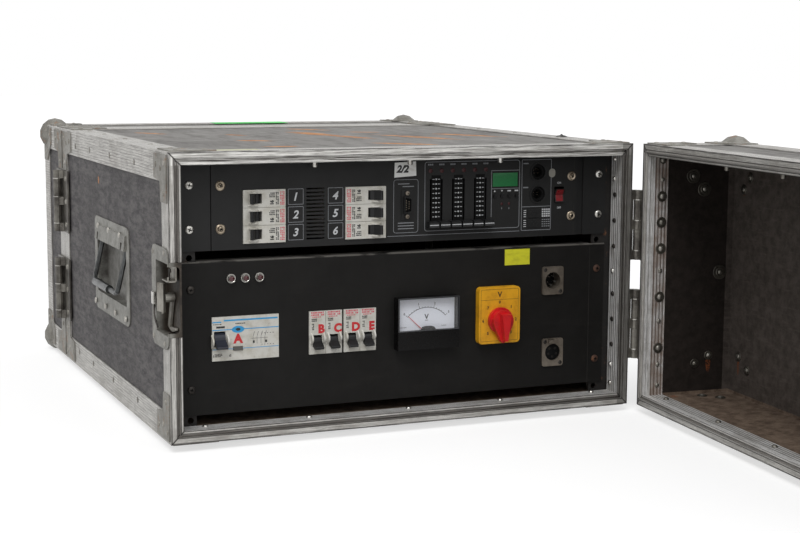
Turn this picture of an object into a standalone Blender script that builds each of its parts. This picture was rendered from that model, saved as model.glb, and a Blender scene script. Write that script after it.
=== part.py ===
"""Six-unit dimmer rack in a plywood flight case, with its front lid swung open.

Lengths are metres, angles are degrees. +Z is up, the equipment faces -Y, and the
origin is the middle of the bottom board's outer face. The case is the same again
when it is turned half a turn about Z, apart from the equipment in its front.

Places near a side wall are given as two distances: u runs inward from the outside
of the edge extrusions, and v runs back from the front parting plane.
"""
import math

import bmesh
import bpy
from mathutils import Matrix, Vector

# Case sizes
BODY_DEPTH = 0.498
LID_DEPTH = 0.118
LID_GAP = 0.0005
BOARD = 0.009
SHEET = 0.0012
FIT = 0.0003

# Aluminium extrusions
RIM_FACE = 0.013
RIM_LEG = 0.025
GROOVE_START = 0.007
GROOVE_WIDTH = 0.0025
GROOVE_DEPTH = 0.003
CHANNEL_FLOOR = 0.006
TONGUE_SIDE_PLAY = 0.0006
TONGUE_TIP_PLAY = 0.0006
EDGE_LEG = 0.030
EDGE_OVERLAP = 0.001

# Corner braces and ball corners
BRACE_LENGTH = 0.050
BRACE_LEG = 0.027
BRACE_SET_IN = 0.003
BRACE_SHEET = 0.0013
PLATE_SINK = 0.0002
BALL_RADIUS = 0.020
BALL_STAND_OUT = 0.0085
BALL_PLATE = 0.045

# Hinges
HINGE_LENGTH = 0.077
HINGE_SPACING = 0.110
HINGE_OFFSET = 0.008
HINGE_LEAF_WIDTH = 0.033
HINGE_SHEET = 0.002
KNUCKLE_RADIUS = 0.005
KNUCKLE_SHORT = 0.0105
KNUCKLE_GAP = 0.0004
PIN_RADIUS = 0.0017
PIN_PLAY = 0.0003
FRONT_LID_OPEN = 85.0

# Twist latches
LATCH_DISH_HALF_HEIGHT = 0.037
LATCH_DISH_DEPTH = 0.0126
LATCH_DISH_LENGTH = 0.0462
LATCH_FLANGE_HALF_HEIGHT = 0.0505
LATCH_FLANGE_LENGTH = 0.061
LATCH_WINDOW_HALF_HEIGHT = 0.033
LATCH_WINDOW_EDGE = 0.0018
LATCH_WINDOW_CORNER = 0.004
SPINDLE_SETBACK = 0.022
SPINDLE_RADIUS = 0.005
SPINDLE_PIN_RADIUS = 0.003
WING_HALF_HEIGHT = 0.0145
WING_LEAF = 0.0085
WING_LEAF_RISE = 0.0045
WING_SHEET = 0.002
HOOK_SHEET = 0.0025
HOOK_WIDTH = 0.007
HOOK_THICKNESS = 0.0025
HOOK_ABOVE_FLOOR = 0.0009
HOOK_ARM_ANGLE = -110.0
HOOK_TIP_ANGLE = -67.0
HOOK_PLAY = 0.0005
KEEPER_PIN_SETBACK = 0.005
KEEPER_PIN_RADIUS = 0.002
KEEPER_HALF_HEIGHT = 0.028
KEEPER_LENGTH = 0.020
KEEPER_DEPTH = 0.0126
KEEPER_FLANGE_HALF_HEIGHT = 0.036
KEEPER_FLANGE_LENGTH = 0.042

# Bail handles
HANDLE_LENGTH = 0.163
HANDLE_HEIGHT = 0.107
HANDLE_CENTRE_Y = -0.0045
HANDLE_CORNER = 0.010
HANDLE_PAN_LENGTH = 0.140
HANDLE_PAN_TOP = 0.028
HANDLE_PAN_BOTTOM = -0.034
HANDLE_PAN_DEPTH = 0.0122
HANDLE_PAN_CORNER = 0.018
COVER_HEIGHT = 0.016
COVER_STAND_OUT = 0.0032
BAIL_RADIUS = 0.0027
SLEEVE_RADIUS = 0.0046
SLEEVE_LENGTH = 0.068
BAIL_WIDTH = 0.113
BAIL_DROP = 0.054
BAIL_PIVOT_HEIGHT = 0.033
BAIL_PIVOT_INSET = 0.0050
BAIL_STUB = 0.012
BAIL_LEAN = 13.0
BAIL_BEND = 0.008

# Rack
RACK_UNIT = 0.04445
RACK_BASE = BOARD
RACK_HEADROOM = 0.0017
PANEL_WIDTH = 0.4826
PANEL_END_PLAY = 0.00845
PANEL_RECESS = 0.025
PANEL_SHEET = 0.002
RACK_HOLE_INSET = 0.0088
RACK_HOLE_RADIUS = 0.0035
RAIL_FACE_WIDTH = 0.0151
RAIL_SHEET = 0.002
RAIL_LEG = 0.030
RAIL_END_GAP = 0.001

# Dimmer unit
DIMMER_UNITS = 2
DIMMER_PLAY = 0.0008
CHASSIS_WIDTH = 0.429
CHASSIS_DEPTH = 0.340
CHASSIS_SHEET = 0.0015
CHASSIS_LIP = 0.0045
FRONT_PLATE_LEFT = -0.2098
FRONT_PLATE_RIGHT = 0.2055
EAR_LEFT = -0.2108
EAR_RIGHT = 0.2145
MODULE = 0.018
NOSE_LENGTH = 0.0448
NOSE_STAND_OUT = 0.0015
NOSE_DEPTH = 0.0080
BREAKER_LENGTH = 0.085
BREAKER_DEPTH = 0.064
MODULE_GROOVE = 0.0005
BANK_LEFT_X = -0.1546
BANK_RIGHT_X = -0.0445
BANK_ABOVE_DIMMER = 0.0328
VENT_X = -0.0995
VENT_ABOVE_DIMMER = 0.0337
VENT_COUNT = 14
VENT_PITCH = 0.00393
VENT_LENGTH = 0.0195
VENT_HEIGHT = 0.0018
FADER_COUNT = 6
FADER_X = 0.0295
FADER_PITCH = 0.0129
FADER_ABOVE_DIMMER = 0.0178
FADER_TRAVEL = 0.045
FADER_KNOB_WIDTH = 0.0112
FADER_KNOB_HEIGHT = 0.0070
FADER_KNOB_DEPTH = 0.0090
FADER_KNOB_CLEAR = 0.0020
FADER_STEM_WIDTH = 0.0014
FADER_STEM_HEIGHT = 0.0040
FADER_STEM_BEHIND = 0.008
DISPLAY_X = 0.1173
DISPLAY_ABOVE_DIMMER = 0.0628
DISPLAY_WIDTH = 0.0305
DISPLAY_HEIGHT = 0.0153
DISPLAY_SINK = 0.0008
BUTTON_COUNT = 4
BUTTON_X = 0.1047
BUTTON_PITCH = 0.0087
BUTTON_ABOVE_DIMMER = 0.0455
BUTTON_RADIUS = 0.0019
BUTTON_STAND_OUT = 0.0015
BUTTON_SHAFT = 0.004
SOCKET_X = 0.1568
SOCKET_ABOVE_DIMMER = (0.0702, 0.0460)
SOCKET_RADIUS = 0.0085
SOCKET_WALL = 0.0015
SOCKET_DEPTH = 0.012
SOCKET_RIM = 0.0010
NINE_WAY_X = 0.0020
NINE_WAY_ABOVE_DIMMER = 0.0393
NINE_WAY_LENGTH = 0.0308
NINE_WAY_WIDTH = 0.0125
NINE_WAY_FLANGE = 0.0010
SHELL_LENGTH = 0.0180
SHELL_WIDTH = 0.0085
SHELL_STAND_OUT = 0.0040
SHELL_WALL = 0.0008
SWITCH_BLOCK_X = 0.1525
SWITCH_BLOCK_ABOVE_DIMMER = (0.0253, 0.0146)
SWITCH_BLOCK_WIDTH = 0.0145
SWITCH_BLOCK_HEIGHT = 0.0090
SWITCH_BLOCK_STAND_OUT = 0.0008
ROCKER_X = 0.1830
ROCKER_ABOVE_DIMMER = 0.0453
ROCKER_WIDTH = 0.0112
ROCKER_HALF_HEIGHT = 0.0074
ROCKER_WINDOW_PLAY = 0.0008
ROCKER_SETBACK = 0.004
ROCKER_SWING = 16.0
ROCKER_RIDGE = 0.0004
ROCKER_CREST = 0.0030
ROCKER_WEDGE = 0.0010
ROCKER_TAIL = 0.0020
ROCKER_TAPER = 0.0030

# Breaker toggles
TOGGLE_WIDTH = 0.0096
TOGGLE_SIDE_PLAY = 0.0003
TOGGLE_DRUM_RADIUS = 0.0055
TOGGLE_SLOT_PLAY = 0.0008
TOGGLE_PIVOT_DEPTH = 0.0050
TOGGLE_REACH = 0.0141
TOGGLE_THICKNESS = 0.0050
TOGGLE_LEAN = 30.0
TOGGLE_OFFSET = 0.0088

# Distribution panel
PANEL_BOTTOM_ABOVE_BASE = 0.0117
PANEL_HEIGHT = 0.1558
PANEL_FLANGE = 0.018
BREAKER_ABOVE_BASE = 0.0885
BREAKER_DEEPEST = 0.066
RCD_X = -0.1752
RCD_MODULES = 4
RCD_MODULE = 0.0176
RCD_TOGGLE_X = -0.2025
RCD_TOGGLE_WIDTH = 0.0115
RCD_TOGGLE_DRUM_RADIUS = 0.0070
RCD_TOGGLE_REACH = 0.0175
RCD_TOGGLE_LEAN = 28.0
TEST_BUTTON_X = -0.1835
TEST_BUTTON_BELOW = 0.0105
TEST_BUTTON_WIDTH = 0.0098
TEST_BUTTON_HEIGHT = 0.0037
TEST_BUTTON_STAND_OUT = 0.0012
TEST_BUTTON_TRAVEL = 0.0010
TEST_BUTTON_SHAFT = 0.005
PAIR_X = (-0.0889, -0.0508)
RAIL_STRIP_HEIGHT = 0.035
RAIL_STRIP_DEPTH = 0.0075
RAIL_STRIP_SHEET = 0.001
METER_X = 0.0235
METER_WIDTH = 0.0703
METER_BOTTOM_ABOVE_BASE = 0.0650
METER_HEIGHT = 0.0553
METER_STAND_OUT = 0.012
METER_WALL = 0.0015
METER_COVER_HEIGHT = 0.0195
METER_DIAL_STAND_OUT = 0.0043
METER_BARREL_RADIUS = 0.024
METER_BARREL_DEPTH = 0.030
NEEDLE_ABOVE_BASE = 0.0805
NEEDLE_LENGTH = 0.0280
NEEDLE_WIDTH = 0.0009
NEEDLE_SHEET = 0.0006
NEEDLE_HUB_RADIUS = 0.0030
NEEDLE_PIN_RADIUS = 0.0010
NEEDLE_PLAY = 0.0003
NEEDLE_HALF_SWING = 47.0
NEEDLE_POCKET_HALF_WIDTH = 0.013
NEEDLE_POCKET_BELOW = 0.004
SELECTOR_X = 0.1084
SELECTOR_ABOVE_BASE = 0.0956
SELECTOR_WIDTH = 0.0492
SELECTOR_HEIGHT = 0.0613
SELECTOR_STAND_OUT = 0.0083
SELECTOR_CORNER = 0.004
SELECTOR_SHAFT_ABOVE_BASE = 0.0903
SELECTOR_BUSH_RADIUS = 0.009
SELECTOR_BUSH_DEPTH = 0.020
KNOB_DISC_RADIUS = 0.0143
KNOB_DISC_HEIGHT = 0.004
KNOB_PEAR_RADIUS = 0.0120
KNOB_PEAR_HEIGHT = 0.006
KNOB_POINTER = 0.0235
KNOB_POINTER_RADIUS = 0.003
KNOB_GRIP_HALF_WIDTH = 0.0055
KNOB_GRIP_HEIGHT = 0.008
KNOB_SHAFT_RADIUS = 0.003
KNOB_SHAFT_LENGTH = 0.012
OUTLET_PLATE_WIDTH = 0.026
OUTLET_PLATE_HEIGHT = 0.031
OUTLET_PLATE_SHEET = 0.002
OUTLET_PLATE_CORNER = 0.0025
OUTLET_BODY_RADIUS = 0.0118
OUTLET_BORE_RADIUS = 0.0093
OUTLET_BORE_DEPTH = 0.014
OUTLET_BODY_DEPTH = 0.022
INLET_X = 0.1764
INLET_BELOW_TOP = 0.0385
OUTLET_X = 0.1775
OUTLET_ABOVE_BOTTOM = 0.0376
TAB_OFFSET_X = -0.0020
TAB_ABOVE_CENTRE = 0.0122
TAB_WIDTH = 0.0075
TAB_HEIGHT = 0.0036
TAB_STAND_OUT = 0.0025
TAB_TRAVEL = 0.0012

# Worked out from the sizes above
BOARD_INSET = SHEET + FIT
WALL_INSET = BOARD_INSET + BOARD
SIDE_X = PANEL_WIDTH / 2 + PANEL_END_PLAY + WALL_INSET
RACK_HOLE_X = PANEL_WIDTH / 2 - RACK_HOLE_INSET
RAIL_INNER_X = PANEL_WIDTH / 2 - RAIL_FACE_WIDTH
PANEL_BOTTOM = RACK_BASE + PANEL_BOTTOM_ABOVE_BASE
PANEL_TOP = PANEL_BOTTOM + PANEL_HEIGHT
PANEL_UNITS = math.ceil((PANEL_TOP - RACK_BASE) / RACK_UNIT)
CASE_UNITS = PANEL_UNITS + DIMMER_UNITS
CASE_HEIGHT = CASE_UNITS * RACK_UNIT + RACK_HEADROOM + 2 * WALL_INSET
Z_BOTTOM = -BOARD_INSET
Z_TOP = Z_BOTTOM + CASE_HEIGHT
Z_MID = (Z_BOTTOM + Z_TOP) / 2
Y_FRONT = -BODY_DEPTH / 2
PANEL_FRONT = Y_FRONT + PANEL_RECESS
PANEL_BACK = PANEL_FRONT + PANEL_SHEET
RAIL_FRONT = PANEL_BACK + FIT
HINGE_AXIS = Vector((SIDE_X + HINGE_OFFSET, Y_FRONT, 0.0))
DIMMER_BOTTOM = RACK_BASE + PANEL_UNITS * RACK_UNIT + DIMMER_PLAY / 2
DIMMER_HEIGHT = DIMMER_UNITS * RACK_UNIT - DIMMER_PLAY
NOSE_FRONT = PANEL_FRONT - NOSE_STAND_OUT
CHASSIS_FRONT = PANEL_BACK + FIT
INLET_PLACE = (INLET_X, PANEL_TOP - INLET_BELOW_TOP)
OUTLET_PLACE = (OUTLET_X, PANEL_BOTTOM + OUTLET_ABOVE_BOTTOM)

# Outer holes of a rack unit, counted from the unit's lower edge
UNIT_HOLES = (0.00635, 0.02225, 0.03810)

ROUND_SEGMENTS = 16
SMALL_SEGMENTS = 10
KNUCKLE_SEGMENTS = 12
PIN_SEGMENTS = 8
SMOOTH_LIMIT = math.radians(46.0)

FRONT = 0.0
REAR = math.pi


# Mesh building

def arc(centre, radius, start, end, steps):
    """Points on a circular arc, angles in degrees."""
    points = []
    for step in range(steps + 1):
        angle = math.radians(start + (end - start) * step / steps)
        points.append((centre[0] + radius * math.cos(angle), centre[1] + radius * math.sin(angle)))
    return points


def circle(centre, radius, segments):
    """Closed ring of points round a centre."""
    return arc(centre, radius, 0.0, 360.0, segments)[:-1]


def rectangle(low_a, high_a, low_b, high_b):
    return [(low_a, low_b), (high_a, low_b), (high_a, high_b), (low_a, high_b)]


def rounded_rectangle(low_a, high_a, low_b, high_b, radius, steps=3):
    """Rectangle with round corners."""
    outline = []
    outline += arc((high_a - radius, high_b - radius), radius, 0.0, 90.0, steps)
    outline += arc((low_a + radius, high_b - radius), radius, 90.0, 180.0, steps)
    outline += arc((low_a + radius, low_b + radius), radius, 180.0, 270.0, steps)
    outline += arc((high_a - radius, low_b + radius), radius, 270.0, 360.0, steps)
    return outline


def place_on_axis(axis, a, b, along):
    """Point of a section at a distance along an axis."""
    if axis == "X":
        return Vector((along, a, b))
    if axis == "Y":
        return Vector((a, along, b))
    return Vector((a, b, along))


def add_prism(mesh, outline, axis, start, end):
    """Extrude a closed outline along an axis and cap both ends."""
    near = [mesh.verts.new(place_on_axis(axis, a, b, start)) for a, b in outline]
    far = [mesh.verts.new(place_on_axis(axis, a, b, end)) for a, b in outline]
    count = len(outline)
    mesh.faces.new(near)
    mesh.faces.new(far[::-1])
    for index in range(count):
        following = (index + 1) % count
        mesh.faces.new((near[following], near[index], far[index], far[following]))


def add_box(mesh, low, high):
    add_prism(mesh, rectangle(low[0], high[0], low[1], high[1]), "Z", low[2], high[2])


def add_cylinder(mesh, centre, axis, radius, start, end, segments=ROUND_SEGMENTS):
    """Round bar; centre is given in the section's plane."""
    add_prism(mesh, circle(centre, radius, segments), axis, start, end)


def add_sphere(mesh, centre, radius, segments=12, rings=7):
    bmesh.ops.create_uvsphere(
        mesh, u_segments=segments, v_segments=rings, radius=radius, matrix=Matrix.Translation(centre))


def add_frame_ring(mesh, section, y_of_v):
    """Sweep a (u, v) section round the case's outline with mitred corners."""
    loops = []
    for u, v in section:
        y = y_of_v(v)
        corners = (
            (-SIDE_X + u, Z_BOTTOM + u),
            (SIDE_X - u, Z_BOTTOM + u),
            (SIDE_X - u, Z_TOP - u),
            (-SIDE_X + u, Z_TOP - u),
        )
        loops.append([mesh.verts.new((x, y, z)) for x, z in corners])
    for index, loop in enumerate(loops):
        following = loops[(index + 1) % len(loops)]
        for corner in range(4):
            other = (corner + 1) % 4
            mesh.faces.new((loop[corner], loop[other], following[other], following[corner]))


def add_rod(mesh, path, radius, segments=8):
    """Round rod along a list of points, its sections mitred at each point."""
    points = [Vector(point) for point in path]
    rings = []
    side = None
    for index, point in enumerate(points):
        before = (point - points[index - 1]).normalized() if index else None
        after = (points[index + 1] - point).normalized() if index + 1 < len(points) else None
        run = before if after is None else after
        tangent = run if before is None or after is None else (before + after).normalized()
        if side is None:
            side = tangent.orthogonal().normalized()
        side = (side - tangent * side.dot(tangent)).normalized()
        stretch = 1.0 / max(tangent.dot(run), 0.5)
        bend = Vector((0.0, 0.0, 0.0))
        if before is not None and after is not None:
            bend = (after - before).normalized() if (after - before).length > 1e-6 else bend
        across = tangent.cross(side)
        ring = []
        for step in range(segments):
            angle = 2.0 * math.pi * step / segments
            offset = side * (math.cos(angle) * radius) + across * (math.sin(angle) * radius)
            offset += bend * offset.dot(bend) * (stretch - 1.0)
            ring.append(mesh.verts.new(point + offset))
        rings.append(ring)
    mesh.faces.new(rings[0])
    mesh.faces.new(rings[-1][::-1])
    for near, far in zip(rings, rings[1:]):
        for step in range(segments):
            other = (step + 1) % segments
            mesh.faces.new((near[other], near[step], far[step], far[other]))


def new_mesh():
    return bmesh.new()


def box_mesh(low, high):
    mesh = new_mesh()
    add_box(mesh, low, high)
    return mesh


def prism_mesh(outline, axis, start, end):
    mesh = new_mesh()
    add_prism(mesh, outline, axis, start, end)
    return mesh


def cylinder_mesh(centre, axis, radius, start, end, segments=ROUND_SEGMENTS):
    mesh = new_mesh()
    add_cylinder(mesh, centre, axis, radius, start, end, segments)
    return mesh


# Objects and materials

MATERIALS = {}


def material(name, colour, roughness, metallic):
    """Principled material, made once for each name."""
    if name not in MATERIALS:
        made = bpy.data.materials.new(name)
        made.use_nodes = True
        shader = made.node_tree.nodes["Principled BSDF"]
        shader.inputs["Base Color"].default_value = (*colour, 1.0)
        shader.inputs["Roughness"].default_value = roughness
        shader.inputs["Metallic"].default_value = metallic
        MATERIALS[name] = made
    return MATERIALS[name]


def laminate():
    return material("laminate", (0.13, 0.125, 0.12), 0.75, 0.0)


def extrusion():
    return material("extrusion", (0.55, 0.54, 0.52), 0.42, 1.0)


def zinc_steel():
    return material("zinc_steel", (0.36, 0.33, 0.28), 0.48, 1.0)


def dark_steel():
    return material("dark_steel", (0.09, 0.085, 0.08), 0.5, 0.9)


def rail_steel():
    return material("rail_steel", (0.05, 0.045, 0.04), 0.6, 0.6)


def dimmer_paint():
    return material("dimmer_paint", (0.022, 0.023, 0.026), 0.5, 0.0)


def panel_paint():
    return material("panel_paint", (0.014, 0.014, 0.013), 0.6, 0.0)


def breaker_white():
    return material("breaker_white", (0.62, 0.61, 0.58), 0.5, 0.0)


def black_plastic():
    return material("black_plastic", (0.012, 0.012, 0.013), 0.42, 0.0)


def navy_plastic():
    return material("navy_plastic", (0.018, 0.024, 0.055), 0.42, 0.0)


def grey_plastic():
    return material("grey_plastic", (0.2, 0.2, 0.2), 0.5, 0.0)


def red_plastic():
    return material("red_plastic", (0.62, 0.012, 0.02), 0.28, 0.0)


def yellow_plastic():
    return material("yellow_plastic", (0.75, 0.38, 0.02), 0.45, 0.0)


def nickel():
    return material("nickel", (0.34, 0.31, 0.27), 0.4, 1.0)


def needle_red():
    return material("needle_red", (0.6, 0.03, 0.03), 0.5, 0.0)


def flip_ends(mesh):
    """Turn a mesh half a turn about Z."""
    for vertex in mesh.verts:
        vertex.co.x = -vertex.co.x
        vertex.co.y = -vertex.co.y


def mesh_object(name, mesh, pivot, turn):
    """Object whose mesh is given in unturned case coordinates."""
    pivot = Vector(pivot)
    if turn == REAR:
        flip_ends(mesh)
        pivot = Vector((-pivot.x, -pivot.y, pivot.z))
    bmesh.ops.translate(mesh, verts=mesh.verts, vec=-pivot)
    bmesh.ops.recalc_face_normals(mesh, faces=mesh.faces)
    data = bpy.data.meshes.new(name)
    mesh.to_mesh(data)
    mesh.free()
    data.shade_smooth()
    data.set_sharp_from_angle(angle=SMOOTH_LIMIT)
    item = bpy.data.objects.new(name, data)
    bpy.context.scene.collection.objects.link(item)
    item.location = pivot
    return item


def swing(item, angle):
    """Apply a finished piece's joins and cuts, then turn it about its origin."""
    solid = bpy.data.meshes.new_from_object(item.evaluated_get(bpy.context.evaluated_depsgraph_get()))
    solid.name = item.name
    helpers = [change.object for change in item.modifiers]
    item.modifiers.clear()
    item.data = solid
    for helper in helpers:
        bpy.data.objects.remove(helper, do_unlink=True)
    item.rotation_euler = (0.0, 0.0, angle)


def build(name, mesh, look, steps=(), pivot=(0.0, 0.0, 0.0), turn=FRONT):
    """One node: a base mesh, then joins and cuts in order."""
    item = mesh_object(name, mesh, pivot, turn)
    item.data.materials.append(look)
    for index, (kind, operand) in enumerate(steps):
        helper = mesh_object(f"{name}_{kind.lower()}_{index}", operand, pivot, turn)
        helper.hide_render = True
        helper.display_type = "WIRE"
        change = item.modifiers.new(f"{kind.lower()}_{index}", "BOOLEAN")
        change.operation = kind
        change.solver = "EXACT"
        change.object = helper
    if turn not in (FRONT, REAR):
        swing(item, turn)
    return item


def half_turned(mesh):
    """Copy of a mesh, turned half a turn about Z."""
    copy = mesh.copy()
    flip_ends(copy)
    return copy


def merged(*meshes):
    """One mesh from several that don't touch."""
    whole = new_mesh()
    for mesh in meshes:
        data = bpy.data.meshes.new("part")
        mesh.to_mesh(data)
        mesh.free()
        whole.from_mesh(data)
        bpy.data.meshes.remove(data)
    return whole


# Where things are

def body_y(v):
    return Y_FRONT + v


def lid_y(v):
    """Lid places run forward from the parting plane while the lid is closed."""
    return Y_FRONT - LID_GAP - v


def above_base(height):
    return RACK_BASE + height


def above_dimmer(height):
    return DIMMER_BOTTOM + height


# Flight case body

def rim_section():
    """Grooved rim extrusion that holds the board's edge."""
    groove_end = GROOVE_START + GROOVE_WIDTH
    inner_leg = WALL_INSET + FIT
    return [
        (0.0, 0.0),
        (GROOVE_START, 0.0),
        (GROOVE_START, GROOVE_DEPTH),
        (groove_end, GROOVE_DEPTH),
        (groove_end, 0.0),
        (RIM_FACE, 0.0),
        (RIM_FACE, GROOVE_DEPTH),
        (inner_leg + SHEET, GROOVE_DEPTH + SHEET),
        (inner_leg + SHEET, RIM_LEG),
        (inner_leg, RIM_LEG),
        (inner_leg, CHANNEL_FLOOR),
        (SHEET, CHANNEL_FLOOR),
        (SHEET, RIM_LEG),
        (0.0, RIM_LEG),
    ]


def lid_rim_section():
    """The same rim with a tongue in place of the groove."""
    tongue_start = GROOVE_START + TONGUE_SIDE_PLAY
    tongue_end = GROOVE_START + GROOVE_WIDTH - TONGUE_SIDE_PLAY
    tongue_tip = -(GROOVE_DEPTH - TONGUE_TIP_PLAY)
    section = rim_section()
    section[1:5] = [
        (tongue_start, 0.0),
        (tongue_start, tongue_tip),
        (tongue_end, tongue_tip),
        (tongue_end, 0.0),
    ]
    return section


def long_edges(start, end):
    """Four angle extrusions along the case's depth."""
    mesh = new_mesh()
    for side in (-1, 1):
        for edge, inward in ((Z_BOTTOM, 1), (Z_TOP, -1)):
            outline = []
            for a, b in ((0, 0), (EDGE_LEG, 0), (EDGE_LEG, SHEET), (SHEET, SHEET), (SHEET, EDGE_LEG), (0, EDGE_LEG)):
                outline.append((side * (SIDE_X - a), edge + inward * b))
            add_prism(mesh, outline, "Y", start, end)
    return mesh


def brace_points():
    """L plate as distances from the rim and from the edge, with one leg along each."""
    return (
        (BRACE_SET_IN, BRACE_SET_IN),
        (BRACE_LENGTH, BRACE_SET_IN),
        (BRACE_LENGTH, BRACE_LEG),
        (BRACE_LEG, BRACE_LEG + BRACE_SET_IN),
        (BRACE_LEG - BRACE_SET_IN, BRACE_LENGTH),
        (BRACE_SET_IN, BRACE_LENGTH),
    )


def side_braces(v_of):
    """Brace plates on both side faces, at one rim."""
    mesh = new_mesh()
    for side in (-1, 1):
        inner = side * (SIDE_X - PLATE_SINK)
        outer = side * (SIDE_X + BRACE_SHEET)
        for edge, inward in ((Z_BOTTOM, 1), (Z_TOP, -1)):
            outline = [(v_of(v), edge + inward * w) for v, w in brace_points()]
            add_prism(mesh, outline, "X", inner, outer)
    return mesh


def cap_braces(v_of):
    """Brace plates on the top and bottom faces, at one rim."""
    mesh = new_mesh()
    for side in (-1, 1):
        for edge, outward in ((Z_BOTTOM, -1), (Z_TOP, 1)):
            outline = [(side * (SIDE_X - w), v_of(v)) for v, w in brace_points()]
            add_prism(mesh, outline, "Z", edge - outward * PLATE_SINK, edge + outward * BRACE_SHEET)
    return mesh


def latch_cut():
    """Room in the rim and the board for the front latch's dish."""
    half = LATCH_DISH_HALF_HEIGHT + FIT
    low = (-SIDE_X - BRACE_SHEET, Y_FRONT - FIT, Z_MID - half)
    high = (-SIDE_X + LATCH_DISH_DEPTH + 2 * FIT, body_y(LATCH_DISH_LENGTH + FIT), Z_MID + half)
    return box_mesh(low, high)


def handle_cut():
    """Hole in the left board for the handle's pan."""
    half_length = HANDLE_PAN_LENGTH / 2 + FIT
    outline = rounded_rectangle(
        HANDLE_CENTRE_Y - half_length,
        HANDLE_CENTRE_Y + half_length,
        Z_MID + HANDLE_PAN_BOTTOM - FIT,
        Z_MID + HANDLE_PAN_TOP + COVER_HEIGHT - SHEET + FIT,
        HANDLE_PAN_CORNER)
    return prism_mesh(outline, "X", -SIDE_X, -SIDE_X + WALL_INSET + FIT)


def make_case_boards():
    """Four boards round the case, cut for the latches and the handles."""
    mesh = new_mesh()
    front = CHANNEL_FLOOR + FIT
    rear = BODY_DEPTH - CHANNEL_FLOOR - FIT
    section = rectangle(BOARD_INSET, WALL_INSET, front, rear)
    add_frame_ring(mesh, section, body_y)
    cuts = merged(latch_cut(), half_turned(latch_cut()), handle_cut(), half_turned(handle_cut()))
    build("case_boards", mesh, laminate(), [("DIFFERENCE", cuts)])


def make_case_frame():
    """Grooved rims at both ends, the long edges between them, and the corner braces."""
    mesh = new_mesh()
    add_frame_ring(mesh, rim_section(), body_y)
    rear_rim = new_mesh()
    add_frame_ring(rear_rim, rim_section(), body_y)
    edges = long_edges(body_y(RIM_LEG - EDGE_OVERLAP), body_y(BODY_DEPTH - RIM_LEG + EDGE_OVERLAP))
    sides = side_braces(body_y)
    caps = cap_braces(body_y)
    steps = [
        ("UNION", edges),
        ("UNION", half_turned(rear_rim)),
        ("UNION", merged(half_turned(sides), sides)),
        ("UNION", merged(half_turned(caps), caps)),
        ("DIFFERENCE", merged(latch_cut(), half_turned(latch_cut()))),
    ]
    build("case_frame", mesh, extrusion(), steps)


def dish_notch():
    """Notch that lets the left rail pass the front latch's dish."""
    half = LATCH_DISH_HALF_HEIGHT + 2 * FIT
    low = (-SIDE_X, RAIL_FRONT - RAIL_SHEET, Z_MID - half)
    high = (-SIDE_X + LATCH_DISH_DEPTH + 2 * FIT, RAIL_FRONT + RAIL_LEG + RAIL_SHEET, Z_MID + half)
    return box_mesh(low, high)


def make_rack_rail(name, side):
    """L-section rail with three holes a unit."""
    low_z = WALL_INSET + Z_BOTTOM + RAIL_END_GAP
    high_z = Z_TOP - WALL_INSET - RAIL_END_GAP
    wall_x = SIDE_X - WALL_INSET - FIT
    outline = []
    for x, y in (
        (RAIL_INNER_X, 0.0),
        (wall_x, 0.0),
        (wall_x, RAIL_LEG),
        (wall_x - RAIL_SHEET, RAIL_LEG),
        (wall_x - RAIL_SHEET, RAIL_SHEET),
        (RAIL_INNER_X, RAIL_SHEET),
    ):
        outline.append((side * x, RAIL_FRONT + y))
    holes = new_mesh()
    for unit in range(CASE_UNITS):
        for hole in UNIT_HOLES:
            centre = (side * RACK_HOLE_X, RACK_BASE + unit * RACK_UNIT + hole)
            add_cylinder(
                holes, centre, "Y", RACK_HOLE_RADIUS, RAIL_FRONT - RAIL_SHEET, RAIL_FRONT + 2 * RAIL_SHEET, 6)
    steps = [("DIFFERENCE", holes)]
    if side == -1:
        steps.append(("DIFFERENCE", dish_notch()))
    build(name, prism_mesh(outline, "Z", low_z, high_z), rail_steel(), steps)


# Hinges, drawn at the front right with the lid closed

def knuckle_edges():
    """Heights of the five knuckles' ends: short, long, short, long, short."""
    long_knuckle = (HINGE_LENGTH - 3 * KNUCKLE_SHORT) / 2
    edges = [0.0]
    for length in (KNUCKLE_SHORT, long_knuckle, KNUCKLE_SHORT, long_knuckle, KNUCKLE_SHORT):
        edges.append(edges[-1] + length)
    return edges


def leaf_outline(direction):
    """Leaf and riser; direction is +1 on the case and -1 on the lid."""
    outline = []
    for u, v in (
        (-FIT, HINGE_LEAF_WIDTH),
        (-FIT, 2 * FIT),
        (-HINGE_OFFSET, 2 * FIT),
        (-HINGE_OFFSET, KNUCKLE_RADIUS - 2 * FIT),
        (-FIT - HINGE_SHEET, KNUCKLE_RADIUS + HINGE_SHEET),
        (-FIT - HINGE_SHEET, HINGE_LEAF_WIDTH),
    ):
        outline.append((SIDE_X - u, Y_FRONT + direction * v))
    return outline


def hinge_spans(first):
    """Ends of every second knuckle, counted from the first."""
    edges = knuckle_edges()
    spans = []
    for index in range(first, 5, 2):
        spans.append((edges[index] + KNUCKLE_GAP / 2, edges[index + 1] - KNUCKLE_GAP / 2))
    return spans


def other_knuckle_room(first, low_z):
    """Cuts that free the riser beside the other leaf's knuckles."""
    cuts = new_mesh()
    reach = KNUCKLE_RADIUS + HINGE_OFFSET
    inner = SIDE_X + FIT + HINGE_SHEET
    for start, end in hinge_spans(1 - first):
        low = (inner, Y_FRONT - reach, low_z + start - KNUCKLE_GAP)
        high = (SIDE_X + HINGE_OFFSET + reach, Y_FRONT + reach, low_z + end + KNUCKLE_GAP)
        add_box(cuts, low, high)
    return cuts


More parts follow.
